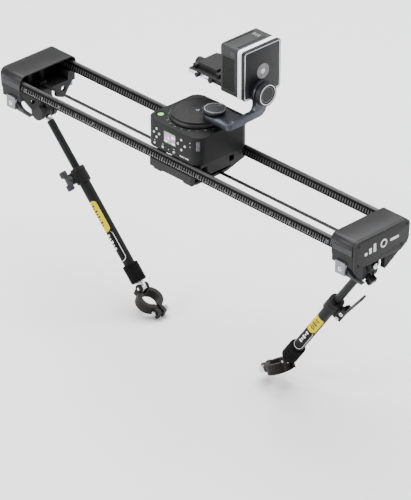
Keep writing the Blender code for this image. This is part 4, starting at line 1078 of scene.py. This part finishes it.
def wrapped(u0, u1, z0, z1, lift, material, corner=0, steps=10):
    """A printed patch wrapped on a tube: u is an angle in degrees round it, z runs along it."""
    middle, half = (u0 + u1) / 2, (u1 - u0) / 2
    bends = [math.radians(t) for t in ((0, 30, 60, 90) if corner else (90,))]
    ends = [(corner * (1 - math.cos(t)), half - math.degrees(corner / TUBE_R) * (1 - math.sin(t)))
        for t in bends]
    rows = [(z0 + drop, wide) for drop, wide in ends] + [(z1 - drop, wide) for drop, wide in reversed(ends)]
    work = bmesh.new()
    shells = []
    for r in (TUBE_R - 0.05, TUBE_R + lift):
        shell = []
        for z, wide in rows:
            angles = [math.radians(middle - wide + 2 * wide * k / steps) for k in range(steps + 1)]
            shell.append([work.verts.new((r * math.cos(t), r * math.sin(t), z)) for t in angles])
        shells.append(shell)
    inner, outer = shells
    for i in range(len(rows) - 1):
        for k in range(steps):
            for shell in shells:
                work.faces.new((shell[i][k], shell[i][k + 1], shell[i + 1][k + 1], shell[i + 1][k]))
        for k in (0, steps):
            work.faces.new((inner[i][k], inner[i + 1][k], outer[i + 1][k], outer[i][k]))
    for i in (0, len(rows) - 1):
        for k in range(steps):
            work.faces.new((inner[i][k], inner[i][k + 1], outer[i][k + 1], outer[i][k]))
    return from_bmesh(work, material)


def lock_turn(name):
    """Angle of the collar's ear round the arm, measured from the arm's own +Y."""
    joint_name = f"{name}_wing_turn" if name == "left_arm" else f"{name}_lever_flip"
    place = arm_frame(name).inverted() @ Vector(joint(joint_name)["pos_m"])
    return Matrix.Rotation(math.atan2(-place.x, place.y), 4, "Z")


def upright(outline, low, high):
    """A slab whose outline is given as (z, x) and whose thickness runs along Y."""
    item = slab(outline, "Y", low, high)
    item.data.transform(spin(-90, "Y"))
    return item


def build_collar_ear(name):
    if name == "left_arm":
        ear = upright(frame_outline(-COLLAR_L + 4, -4, -6, 6, 2.4), COLLAR_R - 2.5, EAR_OUT)
        soften(ear, 0.8, 2)
        middle = -COLLAR_L / 2
        cut(ear, rod(2.8, (0, ROD_R + 2, middle), (0, EAR_OUT + 2, middle)),
            block((-1, ROD_R + 1, -COLLAR_L + 2), (1, EAR_OUT + 0.5, 1)))
        return ear
    ear = upright(frame_outline(-COLLAR_L - 4, -5, -5, 5, 2.4), COLLAR_R - 2.5, LEVER_EAR)
    soften(ear, 0.8, 2)
    cut(ear, block((-0.6, ROD_R, 2 - COLLAR_L), (0.6, LEVER_EAR + 1, 1)),
        rod(1.8, (-8, *LEVER_PIN), (8, *LEVER_PIN)))
    return ear


def socket_screw(radius, high, place):
    """A low screw head with a hexagon socket, standing along the given matrix's +Z."""
    head = lathe([(0, high), (radius - 0.5, high), (radius, high - 0.4), (radius, -0.4), (0, -0.4)], "silver",
        segments=48)
    cut(head, rod(radius * 0.42, (0, 0, high - 0.9), (0, 0, high + 1), "dark_trim_and_painted_edge_shade", segments=6))
    head.data.transform(place)
    return head


def sideways(side, x, y, z):
    """Matrix that stands +Z along the arm's own X, on the given side, at a point in millimetres."""
    return shift(side * x, y, z) @ spin(90 * side, "Y")


def build_labels(name):
    turn = LABEL_TURN[name]
    upper, lower = LABELS[name]
    edge, span = -upper[0], LABEL_SPAN
    labels = [wrapped(turn - span, turn + span, -upper[1], edge, 0.1, "yellow", 6, 24),
        wrapped(turn - span, turn + span, -lower[1], -lower[0], 0.1, "white", 6, 24),
        wrapped(turn - span + 5, turn + span - 5, -lower[1] + 0.9, -lower[0] + 0.1, 0.14, "label_black", 5.4,
        24),]
    for marks, z, gap, lift, ink in ((YELLOW_MARKS[:YELLOW_COUNT[name]], edge - 7, 2.3, 0.16, "ink"),
            (BLACK_MARKS, -lower[0] - 4, 2.6, 0.2, "white")):
        for wide, tall in marks:
            labels.append(wrapped(turn - wide, turn + wide, z - tall, z, lift, ink))
            z -= tall + gap
    return gather(labels)


def build_tube(name, place):
    top = reach_down(name, f"{name}_tube")
    move = place @ shift(0, 0, top)
    bore, end = ROD_R + 0.4, -TUBE_LENGTH[name] - 12
    outer = [(bore, 0), (COLLAR_R - 1.2, 0), (COLLAR_R - 0.3, -0.4), (COLLAR_R, -1.2), (COLLAR_R, -8),
        (COLLAR_R - 0.5, -8.5), (COLLAR_R - 0.5, -9.3), (COLLAR_R, -9.8), (COLLAR_R, 1.2 - COLLAR_L),
        (COLLAR_R - 0.8, -COLLAR_L + 0.2), (TUBE_R + 0.6, -COLLAR_L - 0.6), (TUBE_R, -COLLAR_L - 1.4),
        (TUBE_R, end), (bore, end)]
    pieces = [lathe(outer, "tube", segments=96), build_collar_ear(name)]
    turn = lock_turn(name)
    pieces[1].data.transform(turn)
    if name == "right_arm":
        for side in (-1, 1):
            pieces.append(socket_screw(3, 1.9, turn @ sideways(side, 5, *LEVER_BOLT)))
    paint(pieces[1], "tube")
    settle(gather(pieces), f"{name}_tube_turned", f"{name}_tube", [f"{name}_tube"],
        smooth=32, matrix=move)
    settle(build_labels(name), f"{name}_labels", f"{name}_tube", smooth=30, matrix=move)
    return move


def build_sleeve(name, move):
    top = -TUBE_LENGTH[name]
    base = top - SLEEVE_L
    profile = [(TUBE_R + 0.35, top), (SLEEVE_R - 1.4, top), (SLEEVE_R - 0.3, top - 0.5)]
    z = top - 1.4
    while z > base + 4:
        profile += [(SLEEVE_R, z), (SLEEVE_R, z - 1.5), (SLEEVE_R - 0.8, z - 1.9), (SLEEVE_R - 0.8, z - 2.5)]
        z -= 2.9
    profile += [(SLEEVE_R, base + 2), (SLEEVE_R - 1, base), (0, base), (0, base + 4),
        (TUBE_R + 0.35, base + 4)]
    sleeve = lathe(profile, "rubber", segments=96)
    eye_z = base - 11
    tongue = slab([(-6.4, base + 1), (-5.6, eye_z)] + arc((0, eye_z), 6.5, 190, 350, 20) + [(5.6, eye_z),
        (6.4, base + 1)], "Y", -4, 4, "silver")
    soften(tongue, 0.5, 2)
    axle = rod(2.4, (0, -9.8, eye_z), (0, 9.8, eye_z), "silver")
    settle(gather([sleeve, tongue, axle]), f"{name}_ribbed_sleeve", f"{name}_tube",
        [f"{name}_end_sleeve"], smooth=32, matrix=move)


def build_rod(name, place):
    low_end = min((place.inverted() @ v.co).z for v in frame["nodes"][f"{name}_rod"].data.vertices) / MM
    shaft = lathe([(0, -10), (4.4, -10), (4.4, -16), (5.4, -17), (5.4, -20), (ROD_R, -21.2), (ROD_R, -180),
        (ROD_R - 0.8, low_end), (0, low_end)], "rod", segments=96)
    neck = lathe([(4.3, -12.6), (5.6, -12.8), (5.9, -13.4), (5.9, -19.6), (5.5, -20.4), (4.3, -20.6)],
        "silver", segments=64)
    head = rod(12, (0, -9, 0), (0, 9, 0), "knob", segments=72)
    soften(head, 0.8, 3)
    boss = rod(6, (8, 0, 0), (14, 0, 0), "knob", segments=48)
    pin = rod(3, (0, -16.3, 0), (0, 16.3, 0), "dark_trim_and_painted_edge_shade", segments=40)
    settle(gather([shaft, neck, head, boss, pin]), f"{name}_rod_turned", f"{name}_rod",
        [f"{name}_rod"], smooth=35, matrix=place)


def build_hub_knob(name, place):
    core = lathe([(0, 10), (5.4, 10), (6.4, 9.4), (6.6, 8.6), (6.6, 1), (6, 0), (2.2, 0), (2.2, -7), (0, -7)],
        "knob", segments=72)
    parts = [core]
    for k in range(5):
        angle = math.radians(72 * k)
        y, z = 6.6 * math.cos(angle), 6.6 * math.sin(angle)
        lobe = rod(2.6, (y, z, 0.3), (y, z, 9.7), "knob")
        parts.append(soften(lobe, 0.6, 2))
    parts.append(lathe([(0, 10.25), (2.6, 10.2), (2.9, 9.8), (0, 9.6)], "edge_light", segments=40))
    local = shift(HUB_KNOB_X, 0, 0) @ spin(90, "Y")
    settle(gather(parts), f"{name}_star_knob", f"{name}_knuckle_knob",
        [f"{name}_knuckle_knob"], smooth=35, matrix=place @ local)


def build_wing(name, move):
    screw = rod(2.5, (0, -11, 0), (0, 3, 0), "silver")
    boss = lathe([(0, 7.4), (4.6, 7.4), (5.8, 6.4), (6, 1.2), (5.6, 0.6), (0, 0.6)], "wing", segments=48)
    boss.data.transform(spin(-90, "X"))
    outline = [(-17, 14), (-16, 15), (-7.6, 15), (-6.4, 13.8), (-5.8, 10.2), (5.8, 10.2), (6.4, 13.8),
        (7.6, 15), (16, 15), (17, 14), (17, 6.4), (16, 5.2), (-16, 5.2), (-17, 6.4)]
    pieces = [screw, boss]
    wing = slab([(y, z) for z, y in outline], "X", -4.6, 4.6, "wing")
    pieces.append(soften(wing, 1.2, 3, angle=50))
    for side in (-1, 1):
        for k in range(3):
            z = side * (9.6 + 2.4 * k)
            pieces.append(block((-3.4, 14.2, z - 0.5), (3.4, 15.2, z + 0.5), "knob"))
    local = lock_turn(name) @ shift(0, EAR_OUT + 0.3, -COLLAR_L / 2)
    settle(gather(pieces), f"{name}_wing_screw", f"{name}_tube_lock", [f"{name}_tube_lock"],
        smooth=35, matrix=move @ local)


def build_lever(name, move):
    parts = [rod(1.5, (-7, 0, 0), (7, 0, 0), "silver", segments=24)]
    for side in (-1, 1):
        cheek = slab(arc((0, 0), 5.4, 180, 360, 20) + [(5.2, 2), (4.8, 12), (-2.4, 12)], "X",
            *sorted((side * 5.4, side * 8.2)), "knob")
        parts.append(soften(cheek, 0.5, 2))
        parts.append(socket_screw(3.4, 0.5, sideways(side, 8.2, 0, 0)))
    outline = rounded([(-8.2, 8.4, 1), (8.2, 8.4, 1), (6.5, 22, 5), (6.5, 57.8, 2.4), (-6.5, 57.8, 2.4),
        (-6.5, 22, 5)], 6)
    handle = slab(outline, "Y", 1.6, 5.2, "lever")
    cut(handle, slab(rounded([(-2.2, 26, 2), (2.2, 26, 2), (2.2, 62, 0), (-2.2, 62, 0)], 6), "Y", 0, 7))
    parts.append(soften(handle, 0.7, 2, angle=50))
    lever = gather(parts)
    lever.data.transform(spin(LEVER_LEAN, "X"))
    local = lock_turn(name) @ shift(0, *LEVER_PIN)
    settle(lever, f"{name}_cam_lever", f"{name}_tube_lock", [f"{name}_tube_lock"], smooth=35,
        matrix=move @ local)


for arm in ("left_arm", "right_arm"):
    place = arm_frame(arm)
    along = build_tube(arm, place)
    build_sleeve(arm, along)
    build_rod(arm, place)
    build_hub_knob(arm, place)
    if arm == "left_arm":
        build_wing(arm, along)
    else:
        build_lever(arm, along)
    coat("cast", f"{arm}_knuckle")
    coat("clamp", f"{arm}_leg_clamp")
    coat("silver", f"{arm}_clamp_screw")


# ---- camera, light and floor

LENS = 276.08
CAMERA_PLACE = (3.807105, -3.655453, 2.876824)
AZIMUTH, ELEVATION = math.radians(46.0352), math.radians(29.8668)
FLOOR_DROP = 0.002
FLOOR_HALF = 9000


def build_camera():
    data = bpy.data.cameras.new("camera")
    data.lens = LENS
    data.sensor_width = 36
    data.sensor_fit = "AUTO"
    data.clip_end = 50
    camera = add(data)
    camera.location = CAMERA_PLACE
    level = Vector((math.sin(AZIMUTH), -math.cos(AZIMUTH), 0)) * math.cos(ELEVATION)
    back = level + Vector((0, 0, math.sin(ELEVATION)))
    camera.rotation_euler = back.to_track_quat("Z", "Y").to_euler()
    bpy.context.scene.camera = camera


def area(name, place, target, size, power):
    data = bpy.data.lights.new(name, "AREA")
    data.shape = "RECTANGLE"
    data.size, data.size_y = size
    data.energy = power
    light = add(data)
    light.location = place
    aim = Vector(target) - Vector(place)
    light.rotation_euler = aim.to_track_quat("-Z", "Y").to_euler()


def build_studio():
    world = bpy.data.worlds.new("studio")
    bpy.context.scene.world = world
    world.use_nodes = True
    sky = world.node_tree.nodes["Background"]
    sky.inputs["Color"].default_value = (1, 1, 1, 1)
    sky.inputs["Strength"].default_value = 0.5
    area("top", (-0.5, 0.5, 2.6), (0, 0, 0), (3.2, 3.2), 260)
    area("front_left", (-1.2, -3, 1.3), (0, 0, 0), (1.6, 1.6), 90)
    area("rim", (0.6, 2.6, 1.4), (0, 0, 0.05), (2.2, 1), 25)
    depth = CAD_BOX[0][2] - FLOOR_DROP
    work = bmesh.new()
    bmesh.ops.create_grid(work, x_segments=8, y_segments=8, size=FLOOR_HALF)
    bmesh.ops.translate(work, vec=(0, 0, depth / MM), verts=work.verts)
    floor = from_bmesh(work, "floor")
    floor.name = "floor"


build_camera()
build_studio()
